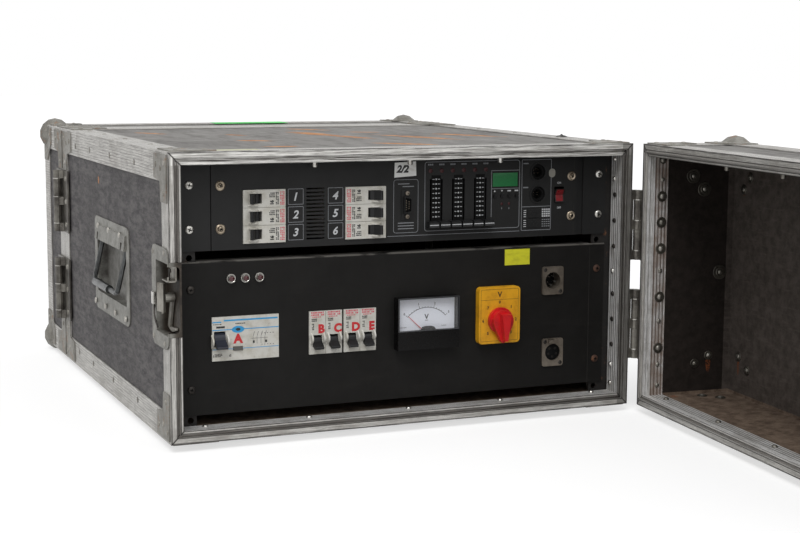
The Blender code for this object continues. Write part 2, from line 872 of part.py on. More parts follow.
def make_case_leaf(name, low_z, turn):
    """Leaf with three short knuckles; the pin is staked in them."""
    axis = (HINGE_AXIS.x, HINGE_AXIS.y)
    knuckles = new_mesh()
    for start, end in hinge_spans(0):
        add_cylinder(knuckles, axis, "Z", KNUCKLE_RADIUS, low_z + start, low_z + end, KNUCKLE_SEGMENTS)
    pin = cylinder_mesh(axis, "Z", PIN_RADIUS, low_z, low_z + HINGE_LENGTH, PIN_SEGMENTS)
    plate = prism_mesh(leaf_outline(1), "Z", low_z, low_z + HINGE_LENGTH)
    steps = [
        ("DIFFERENCE", other_knuckle_room(0, low_z)),
        ("UNION", knuckles),
        ("UNION", pin),
    ]
    build(name, plate, dark_steel(), steps, turn=turn)


def make_lid_leaf(name, low_z, turn):
    """Leaf with two long knuckles, bored for the pin."""
    axis = (HINGE_AXIS.x, HINGE_AXIS.y)
    knuckles = new_mesh()
    for start, end in hinge_spans(1):
        add_cylinder(knuckles, axis, "Z", KNUCKLE_RADIUS, low_z + start, low_z + end, KNUCKLE_SEGMENTS)
    bore = cylinder_mesh(
        axis, "Z", PIN_RADIUS + PIN_PLAY, low_z - FIT, low_z + HINGE_LENGTH + FIT, PIN_SEGMENTS)
    plate = prism_mesh(leaf_outline(-1), "Z", low_z, low_z + HINGE_LENGTH)
    steps = [
        ("DIFFERENCE", other_knuckle_room(1, low_z)),
        ("UNION", knuckles),
        ("DIFFERENCE", bore),
    ]
    build(name, plate, dark_steel(), steps, pivot=HINGE_AXIS, turn=turn)


# Lids, drawn closed on the front

def lid_posts():
    """Angle extrusions along the lid's four short edges."""
    return long_edges(lid_y(LID_DEPTH - EDGE_OVERLAP), lid_y(RIM_LEG - EDGE_OVERLAP))


def lid_outer_section():
    """Angle extrusion round the lid's outer face."""
    return [
        (0.0, LID_DEPTH - EDGE_LEG),
        (SHEET, LID_DEPTH - EDGE_LEG),
        (SHEET, LID_DEPTH - SHEET),
        (EDGE_LEG, LID_DEPTH - SHEET),
        (EDGE_LEG, LID_DEPTH),
        (0.0, LID_DEPTH),
    ]


def lid_corners():
    """Signs and edge heights of the lid's four corners."""
    corners = []
    for side in (-1, 1):
        for edge, inward in ((Z_BOTTOM, 1), (Z_TOP, -1)):
            corners.append((side, edge, inward))
    return corners


def ball_corners():
    mesh = new_mesh()
    sink = BALL_RADIUS - BALL_STAND_OUT
    for side, edge, inward in lid_corners():
        centre = (side * (SIDE_X - sink), lid_y(LID_DEPTH - sink), edge + inward * sink)
        add_sphere(mesh, centre, BALL_RADIUS)
    return mesh


def ball_corner_room():
    """Hollow behind each ball corner, for the boards."""
    mesh = new_mesh()
    inset = SHEET + PLATE_SINK / 2
    for side, edge, inward in lid_corners():
        xs = sorted((side * (SIDE_X - inset), side * (SIDE_X - BALL_RADIUS * 2)))
        zs = sorted((edge + inward * inset, edge + inward * BALL_RADIUS * 2))
        ys = sorted((lid_y(LID_DEPTH - inset), lid_y(LID_DEPTH - BALL_RADIUS * 2)))
        add_box(mesh, (xs[0], ys[0], zs[0]), (xs[1], ys[1], zs[1]))
    return mesh


def corner_plate_outline(a_edge, a_inward, b_edge, b_inward):
    """Plate of a ball corner on one face, its far corner clipped."""
    outline = []
    for a, b in (
        (BRACE_SET_IN, BRACE_SET_IN),
        (BALL_PLATE, BRACE_SET_IN),
        (BALL_PLATE, BALL_PLATE / 2),
        (BALL_PLATE / 2, BALL_PLATE),
        (BRACE_SET_IN, BALL_PLATE),
    ):
        outline.append((a_edge + a_inward * a, b_edge + b_inward * b))
    return outline


def ball_plates(face):
    """Corner plates on the side, cap or outer faces of the lid."""
    mesh = new_mesh()
    outer_y = lid_y(LID_DEPTH)
    for side, edge, inward in lid_corners():
        x_edge = side * SIDE_X
        if face == "X":
            outline = corner_plate_outline(outer_y, 1, edge, inward)
            add_prism(mesh, outline, "X", x_edge - side * PLATE_SINK, x_edge + side * BRACE_SHEET)
        elif face == "Y":
            outline = corner_plate_outline(x_edge, -side, edge, inward)
            add_prism(mesh, outline, "Y", outer_y + PLATE_SINK, outer_y - BRACE_SHEET)
        else:
            outline = corner_plate_outline(x_edge, -side, outer_y, 1)
            add_prism(mesh, outline, "Z", edge + inward * PLATE_SINK, edge - inward * BRACE_SHEET)
    return mesh


def keeper_cut():
    """Room in the lid's rim and board for the keeper's pan."""
    half = KEEPER_HALF_HEIGHT - 2 * FIT
    low = (-SIDE_X - BRACE_SHEET, lid_y(KEEPER_LENGTH - 2 * FIT), Z_MID - half)
    high = (-SIDE_X + RIM_FACE + FIT, Y_FRONT + GROOVE_DEPTH, Z_MID + half)
    return box_mesh(low, high)


def tongue_cut():
    """Gap in the tongue where the body's rim has the latch dish."""
    half = LATCH_DISH_HALF_HEIGHT + 2 * FIT
    low = (-SIDE_X - FIT, lid_y(0.0), Z_MID - half)
    high = (-SIDE_X + RIM_FACE + FIT, Y_FRONT + GROOVE_DEPTH, Z_MID + half)
    return box_mesh(low, high)


def keeper_pan():
    """Pan round the keeper's pin, open at the side and at the parting plane."""
    half = KEEPER_HALF_HEIGHT
    low = (-SIDE_X - PLATE_SINK, lid_y(KEEPER_LENGTH), Z_MID - half)
    high = (-SIDE_X + KEEPER_DEPTH, lid_y(FIT), Z_MID + half)
    return box_mesh(low, high)


def keeper_flange():
    outline = rounded_rectangle(
        lid_y(KEEPER_FLANGE_LENGTH),
        lid_y(BRACE_SET_IN / 2),
        Z_MID - KEEPER_FLANGE_HALF_HEIGHT,
        Z_MID + KEEPER_FLANGE_HALF_HEIGHT,
        HANDLE_CORNER / 2)
    return prism_mesh(outline, "X", -SIDE_X + PLATE_SINK, -SIDE_X - BRACE_SHEET)


def keeper_hollow():
    half = KEEPER_HALF_HEIGHT - SHEET
    low = (-SIDE_X - BRACE_SHEET - FIT, lid_y(KEEPER_LENGTH - SHEET), Z_MID - half)
    high = (-SIDE_X + KEEPER_DEPTH - SHEET, Y_FRONT + GROOVE_DEPTH, Z_MID + half)
    return box_mesh(low, high)


def keeper_pin():
    return cylinder_mesh(
        (lid_y(KEEPER_PIN_SETBACK), Z_MID), "X", KEEPER_PIN_RADIUS,
        -SIDE_X + KEEPER_DEPTH - SHEET / 2, -SIDE_X + KEEPER_DEPTH / 3, SMALL_SEGMENTS)


def make_lid_boards(name, turn):
    """Five boards: four sides and the outer one, as one open box."""
    outer_low = (-SIDE_X + BOARD_INSET, lid_y(LID_DEPTH - BOARD_INSET), Z_BOTTOM + BOARD_INSET)
    outer_high = (SIDE_X - BOARD_INSET, lid_y(CHANNEL_FLOOR + FIT), Z_TOP - BOARD_INSET)
    inner_low = (-SIDE_X + WALL_INSET, lid_y(LID_DEPTH - WALL_INSET), Z_BOTTOM + WALL_INSET)
    inner_high = (SIDE_X - WALL_INSET, lid_y(0.0), Z_TOP - WALL_INSET)
    room = box_mesh(
        (-SIDE_X, lid_y(KEEPER_LENGTH + FIT), Z_MID - KEEPER_HALF_HEIGHT - FIT),
        (-SIDE_X + RIM_FACE, lid_y(0.0), Z_MID + KEEPER_HALF_HEIGHT + FIT))
    steps = [
        ("DIFFERENCE", box_mesh(inner_low, inner_high)),
        ("DIFFERENCE", room),
    ]
    build(name, box_mesh(outer_low, outer_high), laminate(), steps, pivot=HINGE_AXIS, turn=turn)


def make_lid_frame(name, turn):
    """Tongued rim, outer edges, posts, braces, ball corners and the keeper."""
    rim = new_mesh()
    add_frame_ring(rim, lid_rim_section(), lid_y)
    outer = new_mesh()
    add_frame_ring(outer, lid_outer_section(), lid_y)
    steps = [
        ("UNION", lid_posts()),
        ("UNION", outer),
        ("UNION", side_braces(lid_y)),
        ("UNION", cap_braces(lid_y)),
        ("UNION", ball_corners()),
        ("UNION", ball_plates("X")),
        ("UNION", ball_plates("Y")),
        ("UNION", ball_plates("Z")),
        ("DIFFERENCE", ball_corner_room()),
        ("DIFFERENCE", keeper_cut()),
        ("UNION", keeper_pan()),
        ("UNION", keeper_flange()),
        ("DIFFERENCE", keeper_hollow()),
        ("DIFFERENCE", tongue_cut()),
        ("UNION", keeper_pin()),
    ]
    build(name, rim, extrusion(), steps, pivot=HINGE_AXIS, turn=turn)


# Twist latch, drawn at the front left

def make_latch_dish(name, turn):
    """Pressed dish set in the rim, open at the side and, between its two ends, at the front."""
    half = LATCH_DISH_HALF_HEIGHT
    pan_low = (-SIDE_X - FIT, body_y(0.0), Z_MID - half)
    pan_high = (-SIDE_X + LATCH_DISH_DEPTH, body_y(LATCH_DISH_LENGTH), Z_MID + half)
    flange_outline = rounded_rectangle(
        body_y(2 * FIT),
        body_y(LATCH_FLANGE_LENGTH),
        Z_MID - LATCH_FLANGE_HALF_HEIGHT,
        Z_MID + LATCH_FLANGE_HALF_HEIGHT,
        HANDLE_CORNER)
    hollow = box_mesh(
        (-SIDE_X - 2 * SHEET, body_y(SHEET), Z_MID - half + SHEET),
        (-SIDE_X + LATCH_DISH_DEPTH - SHEET, body_y(LATCH_DISH_LENGTH - SHEET), Z_MID + half - SHEET))
    window = prism_mesh(
        rounded_rectangle(
            -SIDE_X - LATCH_DISH_DEPTH,
            -SIDE_X + LATCH_DISH_DEPTH - LATCH_WINDOW_EDGE,
            Z_MID - LATCH_WINDOW_HALF_HEIGHT,
            Z_MID + LATCH_WINDOW_HALF_HEIGHT,
            LATCH_WINDOW_CORNER),
        "Y", body_y(-SHEET), body_y(2 * SHEET))
    spindle_hole = cylinder_mesh(
        (body_y(SPINDLE_SETBACK), Z_MID), "X", SPINDLE_PIN_RADIUS + FIT,
        -SIDE_X + LATCH_DISH_DEPTH - 2 * SHEET, -SIDE_X + LATCH_DISH_DEPTH + SHEET, SMALL_SEGMENTS)
    steps = [
        ("UNION", prism_mesh(flange_outline, "X", -SIDE_X - FIT, -SIDE_X - FIT - SHEET)),
        ("DIFFERENCE", hollow),
        ("DIFFERENCE", window),
        ("DIFFERENCE", spindle_hole),
    ]
    build(name, box_mesh(pan_low, pan_high), zinc_steel(), steps, turn=turn)


def hook_outline():
    """Arm and a claw with a straight inner edge; angles run up from straight ahead."""
    centre = (body_y(SPINDLE_SETBACK), Z_MID)
    clear = SPINDLE_SETBACK + LID_GAP + KEEPER_PIN_SETBACK + KEEPER_PIN_RADIUS + HOOK_PLAY
    arm_half = math.degrees(math.asin(HOOK_WIDTH / 2 / clear))
    root_half = math.degrees(math.asin(HOOK_WIDTH / 2 / SPINDLE_RADIUS))
    claw_start = HOOK_ARM_ANGLE + arm_half
    inner = clear / math.cos(math.radians(HOOK_TIP_ANGLE - claw_start) / 2)
    outer = inner + HOOK_THICKNESS
    outline = []
    outline += arc(centre, outer, HOOK_ARM_ANGLE - arm_half, HOOK_TIP_ANGLE, 6)
    outline += arc(centre, inner, HOOK_TIP_ANGLE, claw_start, 1)
    outline += arc(centre, SPINDLE_RADIUS, HOOK_ARM_ANGLE + root_half, HOOK_ARM_ANGLE + 360.0 - root_half, 8)
    return [(2 * centre[0] - y, z) for y, z in outline]


def wing_leaves():
    """Butterfly grip: two tall leaves that rise away from a fold across the spindle."""
    middle = body_y(SPINDLE_SETBACK)
    fold = -SIDE_X + WING_SHEET
    tip = fold - WING_LEAF_RISE
    section = [
        (fold, middle),
        (tip, middle + WING_LEAF),
        (tip - WING_SHEET, middle + WING_LEAF),
        (fold - WING_SHEET, middle),
        (tip - WING_SHEET, middle - WING_LEAF),
        (tip, middle - WING_LEAF),
    ]
    return prism_mesh(section, "Z", Z_MID - WING_HALF_HEIGHT, Z_MID + WING_HALF_HEIGHT)


def make_latch_wing(name, turn):
    """Butterfly grip, spindle and hook, which turn as one on the dish's floor."""
    pivot = (-SIDE_X, body_y(SPINDLE_SETBACK), Z_MID)
    centre = (pivot[1], pivot[2])
    floor = -SIDE_X + LATCH_DISH_DEPTH - SHEET
    hook_inner = floor - HOOK_ABOVE_FLOOR
    spindle = cylinder_mesh(centre, "X", SPINDLE_RADIUS, -SIDE_X + WING_SHEET / 2, hook_inner)
    steps = [
        ("UNION", prism_mesh(hook_outline(), "X", hook_inner - HOOK_SHEET, hook_inner)),
        ("UNION", wing_leaves()),
        ("UNION", cylinder_mesh(
            centre, "X", SPINDLE_PIN_RADIUS, hook_inner - FIT, floor + SHEET, SMALL_SEGMENTS)),
    ]
    build(name, spindle, zinc_steel(), steps, pivot=pivot, turn=turn)


# Bail handle, drawn on the left

def bail_pivot():
    return (-SIDE_X + BAIL_PIVOT_INSET, HANDLE_CENTRE_Y, Z_MID + BAIL_PIVOT_HEIGHT)


def arm_slots():
    """Slots in the cover strip that the arms swing through."""
    mesh = new_mesh()
    half = BAIL_RADIUS + 2 * FIT
    for side in (-1, 1):
        middle = HANDLE_CENTRE_Y + side * BAIL_WIDTH / 2
        low = (-SIDE_X - 2 * COVER_STAND_OUT, middle - half, Z_MID + HANDLE_PAN_TOP - SHEET)
        high = (-SIDE_X + SHEET * 2, middle + half, Z_MID + BAIL_PIVOT_HEIGHT + half)
        add_box(mesh, low, high)
    return mesh


def make_handle_dish(name, turn):
    """Flange, pan and the folded strip that covers the bail's pivots."""
    bottom = Z_MID - HANDLE_HEIGHT / 2
    top = Z_MID + HANDLE_HEIGHT / 2
    pan_top = Z_MID + HANDLE_PAN_TOP
    cover_top = pan_top + COVER_HEIGHT
    half_pan = HANDLE_PAN_LENGTH / 2
    flange = prism_mesh(
        rounded_rectangle(
            HANDLE_CENTRE_Y - HANDLE_LENGTH / 2, HANDLE_CENTRE_Y + HANDLE_LENGTH / 2, bottom, top, HANDLE_CORNER),
        "X", -SIDE_X, -SIDE_X + SHEET)
    pan = prism_mesh(
        rounded_rectangle(
            HANDLE_CENTRE_Y - half_pan, HANDLE_CENTRE_Y + half_pan,
            Z_MID + HANDLE_PAN_BOTTOM, cover_top - SHEET, HANDLE_PAN_CORNER),
        "X", -SIDE_X + SHEET / 2, -SIDE_X + HANDLE_PAN_DEPTH)
    cover = prism_mesh(
        [(-SIDE_X + SHEET, pan_top), (-SIDE_X + SHEET, cover_top + SHEET),
         (-SIDE_X - COVER_STAND_OUT / 2, cover_top), (-SIDE_X - COVER_STAND_OUT, pan_top)],
        "Y", HANDLE_CENTRE_Y - half_pan, HANDLE_CENTRE_Y + half_pan)
    pan_hollow = prism_mesh(
        rounded_rectangle(
            HANDLE_CENTRE_Y - half_pan + SHEET, HANDLE_CENTRE_Y + half_pan - SHEET,
            Z_MID + HANDLE_PAN_BOTTOM + SHEET, cover_top - 2 * SHEET, HANDLE_PAN_CORNER - SHEET),
        "X", -SIDE_X + 2 * FIT, -SIDE_X + HANDLE_PAN_DEPTH - SHEET)
    mouth = prism_mesh(
        rounded_rectangle(
            HANDLE_CENTRE_Y - half_pan + SHEET, HANDLE_CENTRE_Y + half_pan - SHEET,
            Z_MID + HANDLE_PAN_BOTTOM + SHEET, pan_top, SHEET),
        "X", -SIDE_X - SHEET, -SIDE_X + 4 * SHEET)
    cover_hollow = prism_mesh(
        [(-SIDE_X + 2 * SHEET, pan_top - SHEET), (-SIDE_X + 2 * SHEET, cover_top - 2 * SHEET),
         (-SIDE_X, cover_top - 2 * SHEET), (-SIDE_X - COVER_STAND_OUT + SHEET, pan_top - SHEET)],
        "Y", HANDLE_CENTRE_Y - half_pan + 4 * SHEET, HANDLE_CENTRE_Y + half_pan - 4 * SHEET)
    saddles = new_mesh()
    pivot = bail_pivot()
    saddle_out = pivot[0] + BAIL_RADIUS + FIT
    for side in (-1, 1):
        outer = HANDLE_CENTRE_Y + side * (BAIL_WIDTH / 2 - BAIL_RADIUS - 2 * FIT)
        inner = HANDLE_CENTRE_Y + side * (BAIL_WIDTH / 2 - BAIL_STUB)
        low = (saddle_out, min(outer, inner), pivot[2] - BAIL_RADIUS)
        high = (-SIDE_X + HANDLE_PAN_DEPTH - SHEET / 2, max(outer, inner), pivot[2] + BAIL_RADIUS)
        add_box(saddles, low, high)
    steps = [
        ("UNION", pan),
        ("UNION", cover),
        ("DIFFERENCE", pan_hollow),
        ("DIFFERENCE", mouth),
        ("DIFFERENCE", cover_hollow),
        ("DIFFERENCE", arm_slots()),
        ("UNION", saddles),
    ]
    build(name, flange, zinc_steel(), steps, turn=turn)


def make_handle_bail(name, turn):
    """Bent rod with a grip sleeve: two pivot stubs and two arms, leaning out of the pan."""
    pivot = Vector(bail_pivot())
    lean = math.radians(BAIL_LEAN)
    down = Vector((-math.sin(lean), 0.0, -math.cos(lean)))
    path = []
    for side in (-1, 1):
        along = Vector((0.0, side, 0.0))
        elbow = pivot + along * (BAIL_WIDTH / 2)
        knee = elbow + down * BAIL_DROP
        stub = elbow - along * BAIL_STUB
        half_bend = BAIL_BEND * (1.0 - math.cos(math.radians(45.0)))
        turn_points = [
            stub,
            elbow,
            knee - down * BAIL_BEND,
            knee - down * half_bend - along * half_bend,
            knee - along * BAIL_BEND,
        ]
        path = turn_points if side == -1 else path + turn_points[::-1]
    mesh = new_mesh()
    add_rod(mesh, path, BAIL_RADIUS)
    grip = pivot + down * BAIL_DROP
    sleeve_end = HANDLE_CENTRE_Y + BAIL_WIDTH / 2 - BAIL_BEND
    sleeve = new_mesh()
    add_cylinder(
        sleeve, (grip.x, grip.z), "Y", SLEEVE_RADIUS, sleeve_end - SLEEVE_LENGTH, sleeve_end)
    build(name, mesh, dark_steel(), [("UNION", sleeve)], pivot=pivot, turn=turn)


# Dimmer unit

def make_dimmer_chassis():
    """Open-fronted sheet box with a front flange and two rack ears."""
    half = CHASSIS_WIDTH / 2
    low_z = DIMMER_BOTTOM
    high_z = DIMMER_BOTTOM + DIMMER_HEIGHT
    rear = CHASSIS_FRONT + CHASSIS_DEPTH
    shell = box_mesh((-half, CHASSIS_FRONT, low_z), (half, rear, high_z))
    hollow = box_mesh(
        (-half + CHASSIS_SHEET, CHASSIS_FRONT + CHASSIS_SHEET, low_z + CHASSIS_SHEET),
        (half - CHASSIS_SHEET, rear - CHASSIS_SHEET, high_z - CHASSIS_SHEET))
    mouth = box_mesh(
        (FRONT_PLATE_LEFT + CHASSIS_LIP, CHASSIS_FRONT - CHASSIS_SHEET, low_z + CHASSIS_LIP),
        (FRONT_PLATE_RIGHT - CHASSIS_LIP, CHASSIS_FRONT + 2 * CHASSIS_SHEET, high_z - CHASSIS_LIP))
    ears = new_mesh()
    ear_back = CHASSIS_FRONT + CHASSIS_SHEET
    add_box(ears, (-PANEL_WIDTH / 2, PANEL_FRONT, low_z), (EAR_LEFT, ear_back, high_z))
    add_box(ears, (EAR_RIGHT - CHASSIS_SHEET, PANEL_FRONT, low_z), (PANEL_WIDTH / 2, ear_back, high_z))
    behind_ears = new_mesh()
    for side in (-1, 1):
        xs = sorted((side * (half + 2 * FIT), side * (PANEL_WIDTH / 2 + FIT)))
        add_box(behind_ears, (xs[0], PANEL_BACK, low_z - FIT), (xs[1], ear_back + FIT, high_z + FIT))
    slots = new_mesh()
    for side in (-1, 1):
        for unit in (PANEL_UNITS, PANEL_UNITS + 1):
            z = RACK_BASE + unit * RACK_UNIT + UNIT_HOLES[1]
            add_cylinder(
                slots, (side * RACK_HOLE_X, z), "Y", RACK_HOLE_RADIUS,
                PANEL_FRONT - PANEL_SHEET, ear_back + PANEL_SHEET, 8)
    steps = [
        ("DIFFERENCE", hollow),
        ("UNION", ears),
        ("DIFFERENCE", mouth),
        ("DIFFERENCE", behind_ears),
        ("DIFFERENCE", slots),
    ]
    build("dimmer_chassis", shell, dimmer_paint(), steps)


def plate_cut(mesh, x, z, width, height):
    """Rectangular hole through the front plate."""
    low = (x - width / 2, PANEL_FRONT - PANEL_SHEET, z - height / 2)
    high = (x + width / 2, PANEL_BACK + PANEL_SHEET, z + height / 2)
    add_box(mesh, low, high)


def fader_x(index):
    return FADER_X + index * FADER_PITCH


def button_x(index):
    return BUTTON_X + index * BUTTON_PITCH


def front_plate_holes():
    holes = new_mesh()
    bank_height = 3 * MODULE
    for x in (BANK_LEFT_X, BANK_RIGHT_X):
        plate_cut(holes, x, above_dimmer(BANK_ABOVE_DIMMER), NOSE_LENGTH + 2 * FIT, bank_height + 2 * FIT)
    for index in range(VENT_COUNT):
        offset = (index - (VENT_COUNT - 1) / 2) * VENT_PITCH
        plate_cut(holes, VENT_X, above_dimmer(VENT_ABOVE_DIMMER) + offset, VENT_LENGTH, VENT_HEIGHT)
    slot_height = FADER_TRAVEL + FADER_STEM_HEIGHT + 4 * FIT
    for index in range(FADER_COUNT):
        plate_cut(
            holes, fader_x(index), above_dimmer(FADER_ABOVE_DIMMER) + FADER_TRAVEL / 2,
            FADER_STEM_WIDTH + 2 * FIT, slot_height)
    for index in range(BUTTON_COUNT):
        add_cylinder(
            holes, (button_x(index), above_dimmer(BUTTON_ABOVE_DIMMER)), "Y", BUTTON_RADIUS + FIT,
            PANEL_FRONT - PANEL_SHEET, PANEL_BACK + PANEL_SHEET, SMALL_SEGMENTS)
    plate_cut(
        holes, ROCKER_X, above_dimmer(ROCKER_ABOVE_DIMMER),
        ROCKER_WIDTH + 2 * FIT, 2 * (ROCKER_HALF_HEIGHT + ROCKER_WINDOW_PLAY))
    return holes


def display_recess():
    low = (DISPLAY_X - DISPLAY_WIDTH / 2, PANEL_FRONT - FIT, above_dimmer(DISPLAY_ABOVE_DIMMER) - DISPLAY_HEIGHT / 2)
    high = (
        DISPLAY_X + DISPLAY_WIDTH / 2, PANEL_FRONT + DISPLAY_SINK,
        above_dimmer(DISPLAY_ABOVE_DIMMER) + DISPLAY_HEIGHT / 2)
    return box_mesh(low, high)


def front_plate_bosses():
    """Round sockets, nine-way connector and switch blocks, fixed to the plate."""
    bosses = new_mesh()
    for height in SOCKET_ABOVE_DIMMER:
        add_cylinder(
            bosses, (SOCKET_X, above_dimmer(height)), "Y", SOCKET_RADIUS + SOCKET_WALL,
            PANEL_FRONT - SOCKET_RIM, PANEL_BACK + SOCKET_DEPTH)
    low_z = above_dimmer(NINE_WAY_ABOVE_DIMMER) - NINE_WAY_LENGTH / 2
    add_box(
        bosses, (NINE_WAY_X - NINE_WAY_WIDTH / 2, PANEL_FRONT - NINE_WAY_FLANGE, low_z),
        (NINE_WAY_X + NINE_WAY_WIDTH / 2, PANEL_FRONT + PANEL_SHEET / 2, low_z + NINE_WAY_LENGTH))
    for height in SWITCH_BLOCK_ABOVE_DIMMER:
        z = above_dimmer(height)
        add_box(
            bosses,
            (SWITCH_BLOCK_X - SWITCH_BLOCK_WIDTH / 2, PANEL_FRONT - SWITCH_BLOCK_STAND_OUT,
             z - SWITCH_BLOCK_HEIGHT / 2),
            (SWITCH_BLOCK_X + SWITCH_BLOCK_WIDTH / 2, PANEL_FRONT + PANEL_SHEET / 2,
             z + SWITCH_BLOCK_HEIGHT / 2))
    return bosses


def nine_way_outline(grow):
    """Five-sided connector shell, standing upright."""
    half_long = SHELL_LENGTH / 2 + grow
    half_short = SHELL_LENGTH / 2 - SHELL_WIDTH / 5 + grow
    half_width = SHELL_WIDTH / 2 + grow
    middle = above_dimmer(NINE_WAY_ABOVE_DIMMER)
    return [
        (NINE_WAY_X - half_width, middle - half_long),
        (NINE_WAY_X + half_width, middle - half_short),
        (NINE_WAY_X + half_width, middle + half_short),
        (NINE_WAY_X - half_width, middle + half_long),
    ]


def boss_hollows():
    hollows = new_mesh()
    for height in SOCKET_ABOVE_DIMMER:
        add_cylinder(
            hollows, (SOCKET_X, above_dimmer(height)), "Y", SOCKET_RADIUS,
            PANEL_FRONT - 2 * SOCKET_RIM, PANEL_BACK + SOCKET_DEPTH - SOCKET_WALL)
    add_prism(
        hollows, nine_way_outline(-SHELL_WALL), "Y",
        PANEL_FRONT - NINE_WAY_FLANGE - SHELL_STAND_OUT - FIT, PANEL_FRONT)
    return hollows


def make_dimmer_front_plate():
    """Front plate with its windows, slots and fixed connectors."""
    plate = box_mesh(
        (FRONT_PLATE_LEFT, PANEL_FRONT, DIMMER_BOTTOM),
        (FRONT_PLATE_RIGHT, PANEL_BACK, DIMMER_BOTTOM + DIMMER_HEIGHT))
    shell = prism_mesh(
        nine_way_outline(0.0), "Y", PANEL_FRONT - NINE_WAY_FLANGE - SHELL_STAND_OUT,
        PANEL_FRONT - NINE_WAY_FLANGE / 2)
    steps = [
        ("DIFFERENCE", front_plate_holes()),
        ("DIFFERENCE", display_recess()),
        ("UNION", front_plate_bosses()),
        ("UNION", shell),
        ("DIFFERENCE", boss_hollows()),
    ]
    build("dimmer_front_plate", plate, dimmer_paint(), steps)


def toggle_slot_half(drum_radius):
    return drum_radius + TOGGLE_SLOT_PLAY


def toggle_slot_back(drum_radius):
    return NOSE_FRONT + TOGGLE_PIVOT_DEPTH + drum_radius + FIT


def bank_pivot_x(x, side):
    """Toggles are pivoted off the middle of their nose, on the side they lean to."""
    return x + side * TOGGLE_OFFSET


def make_dimmer_bank(name, x, side):
    """Three breakers lying sideways, stacked in one bank."""
    middle = above_dimmer(BANK_ABOVE_DIMMER)
    pivot_x = bank_pivot_x(x, side)
    half_height = 1.5 * MODULE
    nose = box_mesh(
        (x - NOSE_LENGTH / 2, NOSE_FRONT, middle - half_height),
        (x + NOSE_LENGTH / 2, PANEL_FRONT + NOSE_DEPTH, middle + half_height))
    case = box_mesh(
        (x - BREAKER_LENGTH / 2, CHASSIS_FRONT + CHASSIS_SHEET + FIT, middle - half_height),
        (x + BREAKER_LENGTH / 2, PANEL_FRONT + BREAKER_DEPTH, middle + half_height))
    cuts = new_mesh()
    grooves = new_mesh()
    slot_half = toggle_slot_half(TOGGLE_DRUM_RADIUS)
    slot_width = TOGGLE_WIDTH / 2 + TOGGLE_SIDE_PLAY
    for index in range(3):
        z = middle + (index - 1) * MODULE
        add_box(
            cuts, (pivot_x - slot_half, NOSE_FRONT - FIT, z - slot_width),
            (pivot_x + slot_half, toggle_slot_back(TOGGLE_DRUM_RADIUS), z + slot_width))
    for index in (-1, 1):
        z = middle + index * MODULE / 2
        add_box(
            grooves, (x - NOSE_LENGTH / 2 - FIT, NOSE_FRONT - FIT, z - MODULE_GROOVE / 2),
            (x + NOSE_LENGTH / 2 + FIT, NOSE_FRONT + 2 * MODULE_GROOVE, z + MODULE_GROOVE / 2))
    steps = [
        ("UNION", case),
        ("DIFFERENCE", cuts),
        ("DIFFERENCE", grooves),
    ]
    build(name, nose, breaker_white(), steps)


def toggle_outline(centre, drum_radius, reach, lean):
    """Drum with a tapering lever; lean is measured from straight out, in (side, depth)."""
    half = TOGGLE_THICKNESS / 2
    tip_half = half * 0.7
    root = math.degrees(math.asin(half / drum_radius))
    outline = arc((0.0, 0.0), drum_radius, 90.0 + root, 450.0 - root, ROUND_SEGMENTS - 2)
    outline += [(tip_half, reach - tip_half / 2), (tip_half / 2, reach), (-tip_half / 2, reach)]
    outline += [(-tip_half, reach - tip_half / 2)]
    turn = math.radians(lean)
    placed = []
    for across, out in outline:
        sideways = across * math.cos(turn) + out * math.sin(turn)
        outward = out * math.cos(turn) - across * math.sin(turn)
        placed.append((centre[0] + sideways, centre[1] - outward))
    return placed


def make_sideways_toggle(name, x, z, lean):
    """Toggle that swings from side to side on an upright axis."""
    pivot = (x, NOSE_FRONT + TOGGLE_PIVOT_DEPTH, z)
    outline = toggle_outline((pivot[0], pivot[1]), TOGGLE_DRUM_RADIUS, TOGGLE_REACH, lean)
    mesh = prism_mesh(outline, "Z", z - TOGGLE_WIDTH / 2, z + TOGGLE_WIDTH / 2)
    build(name, mesh, black_plastic(), pivot=pivot)


def make_upright_toggle(name, x, z, width, drum_radius, reach, lean, look):
    """Toggle that swings up and down on a level axis."""
    pivot = (x, NOSE_FRONT + TOGGLE_PIVOT_DEPTH, z)
    swapped = toggle_outline((pivot[2], pivot[1]), drum_radius, reach, lean)
    outline = [(depth, height) for height, depth in swapped]
    mesh = prism_mesh(outline, "X", x - width / 2, x + width / 2)
    build(name, mesh, look, pivot=pivot)


def make_dimmer_toggles():
    """Three toggles lean left, three lean right."""
    middle = above_dimmer(BANK_ABOVE_DIMMER)
    for bank, (x, side) in enumerate(((BANK_LEFT_X, -1), (BANK_RIGHT_X, 1))):
        for row in range(3):
            make_sideways_toggle(
                f"dimmer_toggle_{bank * 3 + row + 1}", bank_pivot_x(x, side),
                middle + (1 - row) * MODULE, side * TOGGLE_LEAN)


